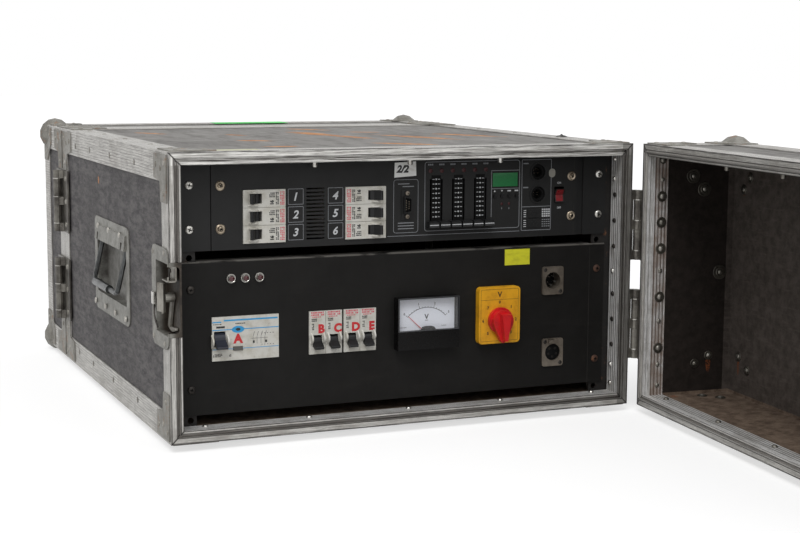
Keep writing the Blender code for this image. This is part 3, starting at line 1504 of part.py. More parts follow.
def make_fader(name, x):
    """Slide fader: knob outside the plate, stem through its slot."""
    z = above_dimmer(FADER_ABOVE_DIMMER)
    front = PANEL_FRONT - FADER_KNOB_CLEAR - FADER_KNOB_DEPTH
    back = PANEL_FRONT - FADER_KNOB_CLEAR
    half_width = FADER_KNOB_WIDTH / 2
    half_height = FADER_KNOB_HEIGHT / 2
    waist = 0.7 * half_height
    dip = 0.08 * FADER_KNOB_DEPTH
    outline = [
        (back, z - half_height),
        (back, z + half_height),
        (front + FADER_KNOB_DEPTH / 3, z + half_height),
        (front, z + waist),
        (front + dip, z),
        (front, z - waist),
        (front + FADER_KNOB_DEPTH / 3, z - half_height),
    ]
    knob = prism_mesh(outline, "X", x - half_width, x + half_width)
    stem = box_mesh(
        (x - FADER_STEM_WIDTH / 2, back - FIT, z - FADER_STEM_HEIGHT / 2),
        (x + FADER_STEM_WIDTH / 2, PANEL_BACK + FADER_STEM_BEHIND, z + FADER_STEM_HEIGHT / 2))
    build(name, knob, black_plastic(), [("UNION", stem)], pivot=(x, PANEL_FRONT, z))


def make_menu_button(name, x):
    z = above_dimmer(BUTTON_ABOVE_DIMMER)
    mesh = cylinder_mesh(
        (x, z), "Y", BUTTON_RADIUS, PANEL_FRONT - BUTTON_STAND_OUT, PANEL_BACK + BUTTON_SHAFT, SMALL_SEGMENTS)
    build(name, mesh, black_plastic(), pivot=(x, PANEL_FRONT, z))


def make_power_rocker():
    """Rocker with two sloping faces, tipped towards its lower half."""
    pivot = (ROCKER_X, PANEL_BACK + ROCKER_SETBACK, above_dimmer(ROCKER_ABOVE_DIMMER))
    tip = math.radians(ROCKER_SWING / 2)
    reach = ROCKER_SETBACK + PANEL_SHEET
    outline = [
        (-reach - ROCKER_CREST, ROCKER_HALF_HEIGHT),
        (-reach - ROCKER_RIDGE, 0.0),
        (-reach - ROCKER_CREST, -ROCKER_HALF_HEIGHT),
        (-reach + ROCKER_WEDGE, -ROCKER_HALF_HEIGHT + ROCKER_WEDGE),
        (ROCKER_TAIL, -ROCKER_HALF_HEIGHT + ROCKER_TAPER),
        (ROCKER_TAIL, ROCKER_HALF_HEIGHT - ROCKER_TAPER),
        (-reach + ROCKER_WEDGE, ROCKER_HALF_HEIGHT - ROCKER_WEDGE),
    ]
    turned = []
    for depth, height in outline:
        y = pivot[1] + depth * math.cos(tip) - height * math.sin(tip)
        z = pivot[2] + depth * math.sin(tip) + height * math.cos(tip)
        turned.append((y, z))
    mesh = prism_mesh(turned, "X", ROCKER_X - ROCKER_WIDTH / 2, ROCKER_X + ROCKER_WIDTH / 2)
    build("power_rocker", mesh, red_plastic(), pivot=pivot)


# Distribution panel

def pair_x(index):
    """Centre of a single-pole breaker; two touch in each pair."""
    pair, place = divmod(index, 2)
    return PAIR_X[pair] + (place - 0.5) * MODULE


def breaker_z():
    return above_base(BREAKER_ABOVE_BASE)


def pole_pivot_z():
    return breaker_z() - TOGGLE_OFFSET


def make_distribution_panel():
    """Folded panel with a flange along its top and its bottom edge."""
    low_z = PANEL_BOTTOM
    high_z = PANEL_TOP
    half = PANEL_WIDTH / 2
    flange_half = RAIL_INNER_X - 4 * FIT
    panel = box_mesh((-half, PANEL_FRONT, low_z), (half, PANEL_BACK, high_z))
    flanges = new_mesh()
    for start in (low_z, high_z - PANEL_SHEET):
        add_box(
            flanges, (-flange_half, PANEL_FRONT + PANEL_SHEET / 2, start),
            (flange_half, PANEL_BACK + PANEL_FLANGE, start + PANEL_SHEET))
    holes = new_mesh()
    rcd_width = RCD_MODULES * RCD_MODULE
    plate_cut(holes, RCD_X, breaker_z(), rcd_width + 2 * FIT, NOSE_LENGTH + 2 * FIT)
    for x in PAIR_X:
        plate_cut(holes, x, breaker_z(), 2 * MODULE + 2 * FIT, NOSE_LENGTH + 2 * FIT)
    meter_z = above_base(METER_BOTTOM_ABOVE_BASE) + METER_HEIGHT / 2
    start = PANEL_FRONT - PANEL_SHEET
    end = PANEL_BACK + PANEL_SHEET
    add_cylinder(holes, (METER_X, meter_z), "Y", METER_BARREL_RADIUS + FIT, start, end)
    shaft = (SELECTOR_X, above_base(SELECTOR_SHAFT_ABOVE_BASE))
    add_cylinder(holes, shaft, "Y", SELECTOR_BUSH_RADIUS + FIT, start, end)
    for place in (INLET_PLACE, OUTLET_PLACE):
        add_cylinder(holes, place, "Y", OUTLET_BODY_RADIUS + FIT, start, end)
    tab_x = OUTLET_PLACE[0] + TAB_OFFSET_X
    tab_z = OUTLET_PLACE[1] + TAB_ABOVE_CENTRE
    tab_hole = new_mesh()
    plate_cut(tab_hole, tab_x, tab_z, TAB_WIDTH + 4 * FIT, TAB_HEIGHT + 4 * FIT)
    rack_holes = new_mesh()
    for side in (-1, 1):
        for unit, hole in ((0, UNIT_HOLES[2]), (PANEL_UNITS - 1, UNIT_HOLES[0])):
            z = RACK_BASE + unit * RACK_UNIT + hole
            add_cylinder(rack_holes, (side * RACK_HOLE_X, z), "Y", RACK_HOLE_RADIUS, start, end, 8)
    steps = [
        ("UNION", flanges),
        ("DIFFERENCE", holes),
        ("DIFFERENCE", tab_hole),
        ("DIFFERENCE", rack_holes),
    ]
    build("distribution_panel", panel, panel_paint(), steps)


def make_distribution_breakers():
    """Residual-current breaker and four single poles, side by side on one rail."""
    z = breaker_z()
    rcd_width = RCD_MODULES * RCD_MODULE
    widths = [(RCD_X, rcd_width), (PAIR_X[0], 2 * MODULE), (PAIR_X[1], 2 * MODULE)]
    case_front = PANEL_BACK + 2 * FIT
    case_back = NOSE_FRONT + BREAKER_DEEPEST
    noses = new_mesh()
    cases = new_mesh()
    for x, width in widths:
        add_box(
            noses, (x - width / 2, NOSE_FRONT, z - NOSE_LENGTH / 2),
            (x + width / 2, case_front + 2 * FIT, z + NOSE_LENGTH / 2))
        add_box(
            cases, (x - width / 2, case_front, z - BREAKER_LENGTH / 2),
            (x + width / 2, case_back, z + BREAKER_LENGTH / 2))
    rail = box_mesh(
        (RCD_X - rcd_width / 2 - BOARD, case_back - RAIL_STRIP_SHEET, z - RAIL_STRIP_HEIGHT / 2),
        (PAIR_X[1] + MODULE + BOARD, case_back + RAIL_STRIP_DEPTH, z + RAIL_STRIP_HEIGHT / 2))
    slots = new_mesh()
    places = [(pair_x(index), pole_pivot_z(), TOGGLE_WIDTH, TOGGLE_DRUM_RADIUS) for index in range(4)]
    places += [(RCD_TOGGLE_X, z, RCD_TOGGLE_WIDTH, RCD_TOGGLE_DRUM_RADIUS)]
    for x, pivot_z, width, drum_radius in places:
        half = toggle_slot_half(drum_radius)
        half_width = width / 2 + TOGGLE_SIDE_PLAY
        add_box(
            slots, (x - half_width, NOSE_FRONT - FIT, pivot_z - half),
            (x + half_width, toggle_slot_back(drum_radius), pivot_z + half))
    test_z = z - TEST_BUTTON_BELOW
    add_box(
        slots,
        (TEST_BUTTON_X - TEST_BUTTON_WIDTH / 2 - FIT, NOSE_FRONT - FIT, test_z - TEST_BUTTON_HEIGHT / 2 - FIT),
        (TEST_BUTTON_X + TEST_BUTTON_WIDTH / 2 + FIT,
         NOSE_FRONT + TEST_BUTTON_SHAFT + TEST_BUTTON_TRAVEL + FIT, test_z + TEST_BUTTON_HEIGHT / 2 + FIT))
    grooves = new_mesh()
    for x in PAIR_X:
        add_box(
            grooves, (x - MODULE_GROOVE / 2, NOSE_FRONT - FIT, z - NOSE_LENGTH / 2 - FIT),
            (x + MODULE_GROOVE / 2, NOSE_FRONT + 2 * MODULE_GROOVE, z + NOSE_LENGTH / 2 + FIT))
    steps = [
        ("UNION", cases),
        ("UNION", rail),
        ("DIFFERENCE", slots),
        ("DIFFERENCE", grooves),
    ]
    build("distribution_breakers", noses, breaker_white(), steps)


def make_distribution_toggles():
    for index in range(4):
        make_upright_toggle(
            f"breaker_toggle_{index + 1}", pair_x(index), pole_pivot_z(), TOGGLE_WIDTH,
            TOGGLE_DRUM_RADIUS, TOGGLE_REACH, -TOGGLE_LEAN, black_plastic())
    make_upright_toggle(
        "rcd_toggle", RCD_TOGGLE_X, breaker_z(), RCD_TOGGLE_WIDTH,
        RCD_TOGGLE_DRUM_RADIUS, RCD_TOGGLE_REACH, -RCD_TOGGLE_LEAN, navy_plastic())


def make_test_button():
    z = breaker_z() - TEST_BUTTON_BELOW
    half_width = TEST_BUTTON_WIDTH / 2
    half_height = TEST_BUTTON_HEIGHT / 2
    outline = rounded_rectangle(
        TEST_BUTTON_X - half_width, TEST_BUTTON_X + half_width, z - half_height, z + half_height,
        half_height * 0.9)
    mesh = prism_mesh(outline, "Y", NOSE_FRONT - TEST_BUTTON_STAND_OUT, NOSE_FRONT + TEST_BUTTON_SHAFT)
    build("rcd_test_button", mesh, grey_plastic(), pivot=(TEST_BUTTON_X, NOSE_FRONT, z))


def meter_planes():
    """Front of the cover, dial face and back of the flange."""
    back = PANEL_FRONT - FIT
    front = PANEL_FRONT - METER_STAND_OUT
    dial = PANEL_FRONT - METER_DIAL_STAND_OUT
    return front, dial, back


def make_voltmeter_case():
    """Open-fronted case with a dial, a lower cover and a barrel behind the panel."""
    front, dial, back = meter_planes()
    low_x = METER_X - METER_WIDTH / 2
    high_x = METER_X + METER_WIDTH / 2
    low_z = above_base(METER_BOTTOM_ABOVE_BASE)
    high_z = low_z + METER_HEIGHT
    cover_z = low_z + METER_COVER_HEIGHT
    case = box_mesh((low_x, front, low_z), (high_x, back, high_z))
    barrel = cylinder_mesh(
        (METER_X, (low_z + high_z) / 2), "Y", METER_BARREL_RADIUS, back - FIT, PANEL_BACK + METER_BARREL_DEPTH)
    window = box_mesh(
        (low_x + METER_WALL, front - FIT, cover_z), (high_x - METER_WALL, dial, high_z - METER_WALL))
    pivot_z = above_base(NEEDLE_ABOVE_BASE)
    pocket = box_mesh(
        (METER_X - NEEDLE_POCKET_HALF_WIDTH, front + METER_WALL, pivot_z - NEEDLE_POCKET_BELOW),
        (METER_X + NEEDLE_POCKET_HALF_WIDTH, dial, cover_z + METER_WALL))
    pin = cylinder_mesh(
        (METER_X, pivot_z), "Y", NEEDLE_PIN_RADIUS, dial + METER_WALL, front + METER_WALL / 2, SMALL_SEGMENTS)
    steps = [
        ("UNION", barrel),
        ("DIFFERENCE", window),
        ("DIFFERENCE", pocket),
        ("UNION", pin),
    ]
    build("voltmeter_case", case, black_plastic(), steps)


def make_voltmeter_needle():
    """Needle on a bored hub, resting at the zero end of its swing."""
    front, dial, back = meter_planes()
    pivot = (METER_X, dial - 2 * NEEDLE_SHEET, above_base(NEEDLE_ABOVE_BASE))
    start = dial - NEEDLE_PLAY - NEEDLE_SHEET
    end = dial - NEEDLE_PLAY
    hub = cylinder_mesh((pivot[0], pivot[2]), "Y", NEEDLE_HUB_RADIUS, start - NEEDLE_SHEET, end, SMALL_SEGMENTS)
    swing = math.radians(NEEDLE_HALF_SWING)
    along = (-math.sin(swing), math.cos(swing))
    across = (math.cos(swing), math.sin(swing))
    root = NEEDLE_HUB_RADIUS * 0.6
    outline = []
    for reach, half in ((root, 1), (NEEDLE_LENGTH, 0.5), (NEEDLE_LENGTH, -0.5), (root, -1)):
        offset = half * NEEDLE_WIDTH / 2
        outline.append((
            pivot[0] + along[0] * reach + across[0] * offset,
            pivot[2] + along[1] * reach + across[1] * offset))
    blade = prism_mesh(outline, "Y", start, end - FIT / 2)
    bore = cylinder_mesh(
        (pivot[0], pivot[2]), "Y", NEEDLE_PIN_RADIUS + NEEDLE_PLAY, start - 2 * NEEDLE_SHEET, end + FIT,
        SMALL_SEGMENTS)
    build("voltmeter_needle", hub, needle_red(), [("UNION", blade), ("DIFFERENCE", bore)], pivot=pivot)


def make_selector_plate():
    """Thick yellow plate, its bush passing through the panel."""
    z = above_base(SELECTOR_ABOVE_BASE)
    outline = rounded_rectangle(
        SELECTOR_X - SELECTOR_WIDTH / 2, SELECTOR_X + SELECTOR_WIDTH / 2,
        z - SELECTOR_HEIGHT / 2, z + SELECTOR_HEIGHT / 2, SELECTOR_CORNER)
    front = PANEL_FRONT - FIT - SELECTOR_STAND_OUT
    plate = prism_mesh(outline, "Y", front, PANEL_FRONT - FIT)
    shaft = (SELECTOR_X, above_base(SELECTOR_SHAFT_ABOVE_BASE))
    bush = cylinder_mesh(shaft, "Y", SELECTOR_BUSH_RADIUS, PANEL_FRONT - 2 * FIT, PANEL_BACK + SELECTOR_BUSH_DEPTH)
    bore = cylinder_mesh(
        shaft, "Y", KNOB_SHAFT_RADIUS + FIT, front - FIT, front + KNOB_SHAFT_LENGTH + FIT, SMALL_SEGMENTS)
    build("selector_plate", plate, yellow_plastic(), [("UNION", bush), ("DIFFERENCE", bore)])


def pear_outline(centre, radius, pointer, tip_radius):
    """Circle drawn out to a pointer that hangs straight down."""
    spread = math.degrees(math.asin((radius - tip_radius) / (pointer - tip_radius)))
    outline = arc(centre, radius, -spread, 180.0 + spread, 12)
    tip = (centre[0], centre[1] - pointer + tip_radius)
    outline += arc(tip, tip_radius, 180.0 + spread, 360.0 - spread, 3)
    return outline


def make_selector_knob():
    """Skirt, pear-shaped body and a narrow grip over the pointer."""
    shaft_z = above_base(SELECTOR_SHAFT_ABOVE_BASE)
    centre = (SELECTOR_X, shaft_z)
    back = PANEL_FRONT - 2 * FIT - SELECTOR_STAND_OUT
    disc_front = back - KNOB_DISC_HEIGHT
    pear_front = disc_front - KNOB_PEAR_HEIGHT
    grip_front = pear_front - KNOB_GRIP_HEIGHT
    disc = cylinder_mesh(centre, "Y", KNOB_DISC_RADIUS, disc_front, back, 20)
    pear = prism_mesh(
        pear_outline(centre, KNOB_PEAR_RADIUS, KNOB_POINTER, KNOB_POINTER_RADIUS), "Y", pear_front,
        disc_front + FIT)
    grip_low = shaft_z - KNOB_POINTER + KNOB_POINTER_RADIUS
    grip = prism_mesh(
        [(SELECTOR_X - KNOB_GRIP_HALF_WIDTH, shaft_z + KNOB_PEAR_RADIUS * 0.7),
         (SELECTOR_X - KNOB_POINTER_RADIUS * 0.6, grip_low),
         (SELECTOR_X + KNOB_POINTER_RADIUS * 0.6, grip_low),
         (SELECTOR_X + KNOB_GRIP_HALF_WIDTH, shaft_z + KNOB_PEAR_RADIUS * 0.7)],
        "Y", grip_front, pear_front + FIT)
    shaft = cylinder_mesh(
        centre, "Y", KNOB_SHAFT_RADIUS, back - FIT, back + KNOB_SHAFT_LENGTH, SMALL_SEGMENTS)
    steps = [("UNION", pear), ("UNION", grip), ("UNION", shaft)]
    build("selector_knob", disc, red_plastic(), steps, pivot=(SELECTOR_X, back, shaft_z))


def make_round_connector(name, place, has_tab):
    """Square flange with a round shell, bored from the front."""
    x, z = place
    outline = rounded_rectangle(
        x - OUTLET_PLATE_WIDTH / 2, x + OUTLET_PLATE_WIDTH / 2,
        z - OUTLET_PLATE_HEIGHT / 2, z + OUTLET_PLATE_HEIGHT / 2, OUTLET_PLATE_CORNER, 2)
    back = PANEL_FRONT - FIT
    front = back - OUTLET_PLATE_SHEET
    flange = prism_mesh(outline, "Y", front, back)
    shell = cylinder_mesh((x, z), "Y", OUTLET_BODY_RADIUS, back - FIT, PANEL_FRONT + OUTLET_BODY_DEPTH)
    bore = cylinder_mesh((x, z), "Y", OUTLET_BORE_RADIUS, front - FIT, front + OUTLET_BORE_DEPTH)
    steps = [("UNION", shell), ("DIFFERENCE", bore)]
    if has_tab:
        tab_x = x + TAB_OFFSET_X
        tab_z = z + TAB_ABOVE_CENTRE
        half_width = TAB_WIDTH / 2 + FIT
        half_height = TAB_HEIGHT / 2 + FIT
        slot = box_mesh(
            (tab_x - half_width, front - FIT, tab_z - half_height),
            (tab_x + half_width, PANEL_BACK + 2 * TAB_TRAVEL, tab_z + half_height))
        steps.append(("DIFFERENCE", slot))
    build(name, flange, nickel(), steps)


def make_outlet_tab():
    """Release tab beside the outlet's bore."""
    x = OUTLET_PLACE[0] + TAB_OFFSET_X
    z = OUTLET_PLACE[1] + TAB_ABOVE_CENTRE
    front = PANEL_FRONT - FIT - OUTLET_PLATE_SHEET - TAB_STAND_OUT
    mesh = box_mesh(
        (x - TAB_WIDTH / 2, front, z - TAB_HEIGHT / 2), (x + TAB_WIDTH / 2, PANEL_BACK, z + TAB_HEIGHT / 2))
    build("outlet_tab", mesh, nickel(), pivot=(x, PANEL_FRONT, z))


# Assembly

def hinge_lows():
    """Lower ends of the two hinges on a side."""
    centre = Z_MID - HINGE_LENGTH / 2
    return (("upper", centre + HINGE_SPACING / 2), ("lower", centre - HINGE_SPACING / 2))


def make_case():
    make_case_boards()
    make_case_frame()
    make_rack_rail("rack_rail_left", -1)
    make_rack_rail("rack_rail_right", 1)
    for end, turn, lid_turn in (("front", FRONT, math.radians(FRONT_LID_OPEN)), ("rear", REAR, REAR)):
        for place, low_z in hinge_lows():
            make_case_leaf(f"{end}_hinge_{place}_case_leaf", low_z, turn)
            make_lid_leaf(f"{end}_hinge_{place}_lid_leaf", low_z, lid_turn)
        make_lid_boards(f"{end}_lid_boards", lid_turn)
        make_lid_frame(f"{end}_lid_frame", lid_turn)
        make_latch_dish(f"{end}_latch_dish", turn)
        make_latch_wing(f"{end}_latch_wing", turn)
    for side, turn in (("left", FRONT), ("right", REAR)):
        make_handle_dish(f"{side}_handle_dish", turn)
        make_handle_bail(f"{side}_handle_bail", turn)


def make_dimmer():
    make_dimmer_chassis()
    make_dimmer_front_plate()
    make_dimmer_bank("dimmer_breakers_left", BANK_LEFT_X, -1)
    make_dimmer_bank("dimmer_breakers_right", BANK_RIGHT_X, 1)
    make_dimmer_toggles()
    for index in range(FADER_COUNT):
        make_fader(f"fader_{index + 1}", fader_x(index))
    for index in range(BUTTON_COUNT):
        make_menu_button(f"menu_button_{index + 1}", button_x(index))
    make_power_rocker()


def make_distribution():
    make_distribution_panel()
    make_distribution_breakers()
    make_distribution_toggles()
    make_test_button()
    make_voltmeter_case()
    make_voltmeter_needle()
    make_selector_plate()
    make_selector_knob()
    make_round_connector("control_inlet", INLET_PLACE, False)
    make_round_connector("control_outlet", OUTLET_PLACE, True)
    make_outlet_tab()


for old in list(bpy.data.objects):
    bpy.data.objects.remove(old, do_unlink=True)

make_case()
make_dimmer()
make_distribution()
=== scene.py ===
import math

import bmesh
import bpy
from mathutils import Matrix, Vector


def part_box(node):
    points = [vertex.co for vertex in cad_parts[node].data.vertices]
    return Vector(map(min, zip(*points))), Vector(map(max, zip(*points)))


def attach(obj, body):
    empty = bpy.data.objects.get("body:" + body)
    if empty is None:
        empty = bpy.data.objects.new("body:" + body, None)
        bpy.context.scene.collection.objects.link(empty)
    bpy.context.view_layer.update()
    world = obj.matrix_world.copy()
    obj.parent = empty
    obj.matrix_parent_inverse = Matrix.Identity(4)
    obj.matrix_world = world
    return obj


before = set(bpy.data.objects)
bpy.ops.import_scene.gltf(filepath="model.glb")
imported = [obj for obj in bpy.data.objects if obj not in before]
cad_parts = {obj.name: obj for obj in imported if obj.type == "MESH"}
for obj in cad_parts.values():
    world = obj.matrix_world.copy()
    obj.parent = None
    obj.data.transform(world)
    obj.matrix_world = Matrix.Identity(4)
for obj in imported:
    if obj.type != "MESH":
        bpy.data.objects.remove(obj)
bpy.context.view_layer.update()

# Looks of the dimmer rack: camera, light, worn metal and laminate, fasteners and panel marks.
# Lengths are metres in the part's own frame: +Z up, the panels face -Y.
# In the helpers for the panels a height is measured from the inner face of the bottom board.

# Places shared with the model
SIDE_X = 0.26025
Z_LOW = -0.0015
Z_HIGH = 0.2879
Z_MID = (Z_LOW + Z_HIGH) / 2
HALF_HEIGHT = (Z_HIGH - Z_LOW) / 2
Y_RIM = 0.249
LID_START = Y_RIM + 0.0005
LID_DEPTH = 0.118
WALL = 0.0105
BASE = 0.009
PANEL = -0.224
NOSE = PANEL - 0.0015
HINGE_X = SIDE_X + 0.008
HINGE = Vector((HINGE_X, -Y_RIM, 0.0))
LID_OPEN = math.radians(85.0)
FLOOR_Z = -0.01
ROCKER_X = 0.183
ROCKER_Z = 0.2313
PRINT = 0.00006
SQUARE = ((-1, -1), (1, -1), (1, 1), (-1, 1))

# Photograph's camera
PHOTO_WIDTH = 800
FOCAL_PIXELS = 1594.479
SENSOR_MM = 36.0
CAMERA_PLACE = Vector((-0.661415, -1.747207, 0.384338))
CAMERA_YAW = math.radians(23.31)
CAMERA_PITCH = math.radians(7.643)
CAMERA_ROLL = math.radians(0.357)

WHITE = (1.0, 1.0, 1.0, 1.0)


# Camera, light and floor

def make_camera():
    camera = bpy.data.objects.new("camera", bpy.data.cameras.new("camera"))
    bpy.context.scene.collection.objects.link(camera)
    camera.data.sensor_width = SENSOR_MM
    camera.data.lens = FOCAL_PIXELS * SENSOR_MM / PHOTO_WIDTH
    camera.data.clip_end = 50.0
    level = math.cos(CAMERA_PITCH)
    ahead = Vector((math.sin(CAMERA_YAW) * level, math.cos(CAMERA_YAW) * level, -math.sin(CAMERA_PITCH)))
    right = Vector((math.cos(CAMERA_YAW), -math.sin(CAMERA_YAW), 0.0))
    up = right.cross(ahead)
    rolled_right = right * math.cos(CAMERA_ROLL) + up * math.sin(CAMERA_ROLL)
    rolled_up = up * math.cos(CAMERA_ROLL) - right * math.sin(CAMERA_ROLL)
    turn = Matrix((rolled_right, rolled_up, -ahead)).transposed().to_4x4()
    camera.matrix_world = Matrix.Translation(CAMERA_PLACE) @ turn
    bpy.context.scene.camera = camera


def add_sun(name, strength, angle, tilt, heading):
    lamp = bpy.data.lights.new(name, "SUN")
    lamp.energy = strength
    lamp.angle = math.radians(angle)
    item = bpy.data.objects.new(name, lamp)
    item.rotation_euler = (math.radians(tilt), 0.0, math.radians(heading))
    bpy.context.scene.collection.objects.link(item)


class Nodes:
    """Builder of one shader's nodes; three values are a colour from 0 to 255, four are a linear one."""

    def __init__(self, owner):
        owner.use_nodes = True
        self.nodes = owner.node_tree.nodes
        self.links = owner.node_tree.links

    def plug(self, socket, value):
        if isinstance(value, bpy.types.NodeSocket):
            self.links.new(value, socket)
        elif socket.type == "RGBA" and len(value) == 3:
            socket.default_value = linear(value)
        else:
            socket.default_value = value

    def node(self, kind, inputs, output=0, **settings):
        """Output of a new node with these settings and inputs."""
        made = self.nodes.new("ShaderNode" + kind)
        for name, value in settings.items():
            setattr(made, name, value)
        for name, value in inputs.items():
            self.plug(made.inputs[name], value)
        return made.outputs[output]

    def maths(self, operation, first, second=0.0):
        return self.node("Math", {0: first, 1: second}, operation=operation)

    def white_for_rays(self, share):
        """Share where the camera, gloss or glass looks, 0 for the light on the object."""
        rays = self.node("LightPath", {}).node.outputs
        total = self.maths("MAXIMUM", rays["Is Camera Ray"], rays["Is Glossy Ray"])
        total = self.maths("MAXIMUM", total, rays["Is Transmission Ray"])
        return self.maths("MULTIPLY", total, share)


def make_world():
    """Even studio light in a white surround."""
    world = bpy.data.worlds.new("studio")
    bpy.context.scene.world = world
    build = Nodes(world)
    build.nodes.clear()
    light, white = [build.node("Background", {"Color": WHITE, "Strength": value}) for value in (0.48, 1.0)]
    both = build.node("MixShader", {0: build.white_for_rays(1.0), 1: light, 2: white})
    build.plug(build.nodes.new("ShaderNodeOutputWorld").inputs["Surface"], both)


def make_floor():
    """White floor that keeps a soft shadow."""
    mesh = bpy.data.meshes.new("floor")
    reach = 12.0
    mesh.from_pydata([(x * reach, y * reach, FLOOR_Z) for x, y in SQUARE], [], [(0, 1, 2, 3)])
    floor = bpy.data.objects.new("floor", mesh)
    bpy.context.scene.collection.objects.link(floor)
    paint = bpy.data.materials.new("floor")
    build = Nodes(paint)
    shader = build.nodes["Principled BSDF"]
    values = {"Base Color": (0.5, 0.5, 0.5, 1.0), "Roughness": 0.9, "Specular IOR Level": 0.0}
    for name, value in values.items():
        build.plug(shader.inputs[name], value)
    glow = build.node("Emission", {"Color": WHITE, "Strength": build.white_for_rays(0.62)})
    both = build.node("AddShader", {0: shader.outputs[0], 1: glow})
    build.plug(build.nodes["Material Output"].inputs["Surface"], both)
    mesh.materials.append(paint)


# Materials, kept by their names

LOOKS = {}


def linear(colour, share=1.0):
    """Linear colour from the usual 0 to 255 values, times a share that darkens it."""
    values = []
    for part in colour:
        level = part / 255.0
        values.append(share * (level / 12.92 if level <= 0.04045 else ((level + 0.055) / 1.055) ** 2.4))
    return (*values, 1.0)


class Look(Nodes):
    """A node material under construction."""

    def __init__(self, name, colour, roughness, metallic=0.0, shine=0.5):
        LOOKS[name] = bpy.data.materials.new(name)
        super().__init__(LOOKS[name])
        self.shader = self.nodes["Principled BSDF"]
        self.put("Base Color", colour)
        self.put("Roughness", roughness)
        self.put("Metallic", metallic)
        self.put("Specular IOR Level", shine)
        self.place = self.node("TexCoord", {}, "Object")
        self.facing = self.place.node.outputs["Normal"]

    def put(self, name, value):
        self.plug(self.shader.inputs[name], value)

    def cover(self, colour, roughness, relief=None, distance=0.0):
        """Give the surface its colour, roughness and relief."""
        self.put("Base Color", colour)
        self.put("Roughness", roughness)
        if relief is not None:
            self.put("Normal", self.node("Bump", {"Height": relief, "Distance": distance}))

    def chain(self, operation, values):
        """One value from several, taken in turn."""
        whole = values[0]
        for value in values[1:]:
            whole = self.maths(operation, whole, value)
        return whole

    def times(self, *values):
        return self.chain("MULTIPLY", values)

    def plus(self, *values):
        return self.chain("ADD", values)

    def any_of(self, *masks):
        return self.chain("MAXIMUM", masks)

    def rest(self, mask):
        return self.maths("SUBTRACT", 1.0, mask)

    def above(self, value, limit):
        return self.maths("GREATER_THAN", value, limit)

    def below(self, value, limit):
        return self.maths("LESS_THAN", value, limit)

    def less(self, first, second):
        return self.maths("SUBTRACT", first, second)

    def size(self, value):
        return self.maths("ABSOLUTE", value)

    def split(self, vector):
        return self.node("SeparateXYZ", {0: vector}).node.outputs[:3]

    def joined(self, x, y):
        return self.node("CombineXYZ", {0: x, 1: y})

    def mapped(self, vector=None, location=(0.0, 0.0, 0.0), turn=0.0, scale=(1.0, 1.0, 1.0), kind="POINT"):
        inputs = {"Location": location, "Rotation": (0.0, 0.0, turn), "Scale": scale}
        return self.node("Mapping", {"Vector": vector or self.place, **inputs}, vector_type=kind)

    def noise(self, scale, detail=4.0, rough=0.6, stretch=None, vector=None):
        """Cloudy value round 0.5; a stretch below 1 draws it out along that axis."""
        if stretch:
            vector = self.mapped(vector, scale=stretch)
        inputs = {"Scale": scale, "Detail": detail, "Roughness": rough}
        return self.node("TexNoise", {"Vector": vector or self.place, **inputs})

    def spread(self, value, low, high):
        """0 below low, 1 above high, smooth between."""
        inputs = {"Value": value, "From Min": low, "From Max": high}
        return self.node("MapRange", inputs, interpolation_type="SMOOTHSTEP")

    def scaled(self, value, low, high):
        """Takes 0 to 1 to low to high."""
        return self.node("MapRange", {"Value": value, "To Min": low, "To Max": high})

    def between(self, share, first, second):
        """Number that goes from first to second."""
        return self.node("Mix", {0: share, 2: first, 3: second})

    def mix(self, share, first, second):
        """Colour that goes from first to second."""
        return self.node("Mix", {0: share, 6: first, 7: second}, 2, data_type="RGBA")

    def blend(self, cloud, low, high, first, second):
        return self.mix(self.spread(cloud, low, high), first, second)

    def tint(self, base, colour, *masks):
        """Base with a colour over it where all the masks are 1."""
        return self.mix(self.times(*masks), base, colour)

    def stained(self, base, *stains):
        """Base under stains, each (cloud, low, high, share, colour)."""
        for cloud, low, high, share, colour in stains:
            base = self.tint(base, colour, self.spread(cloud, low, high), share)
        return base

    def streaks(self, run, across, length, width, detail=5.0):
        """Noise drawn out along a run, for scratches of about this length and width."""
        vector = self.joined(self.maths("DIVIDE", run, length), self.maths("DIVIDE", across, width))
        return self.noise(1.0, detail, 0.65, vector=vector)

    def spot(self, vector, centre, half, turn=0.0, cloud=None, ragged=0.9):
        """1 inside a ragged ellipsoid of these half sizes, turned about Z."""
        inside = self.mapped(vector, centre, turn, half, "TEXTURE")
        reach = self.node("VectorMath", {0: inside}, "Value", operation="LENGTH")
        if cloud is not None:
            reach = self.plus(reach, self.times(self.less(cloud, 0.5), 2.0 * ragged))
        return self.rest(self.spread(reach, 0.75, 1.0))

    def closed_place(self, part):
        """Coordinates of the case with its lids shut."""
        if part != "front_lid":
            return self.place
        back = Matrix.Rotation(-LID_OPEN, 3, "Z")
        return self.mapped(location=HINGE - back @ HINGE, turn=-LID_OPEN)

    def closed_facing(self, part):
        if part != "front_lid":
            return self.facing
        return self.mapped(self.facing, turn=-LID_OPEN)

    def folded(self, x, y, z):
        """Distances from the case's middle planes: side, depth and height."""
        return [self.size(value) for value in (x, y, self.less(z, Z_MID))]

    def beyond(self, distances, in_lid, shift):
        """1 past the outer faces of the case, or of a lid, moved out by a shift."""
        side, depth, height = distances
        masks = [self.above(side, SIDE_X + shift), self.above(height, HALF_HEIGHT + shift)]
        if in_lid:
            masks.append(self.above(depth, LID_START + LID_DEPTH + shift))
        return self.any_of(*masks)

    def ribs(self, distance, pitch, low=0.38, high=0.45):
        """Narrow grooves across a distance, 1 in a groove."""
        phase = self.maths("FRACT", self.maths("DIVIDE", distance, pitch))
        return self.spread(self.size(self.less(phase, 0.5)), low, high)


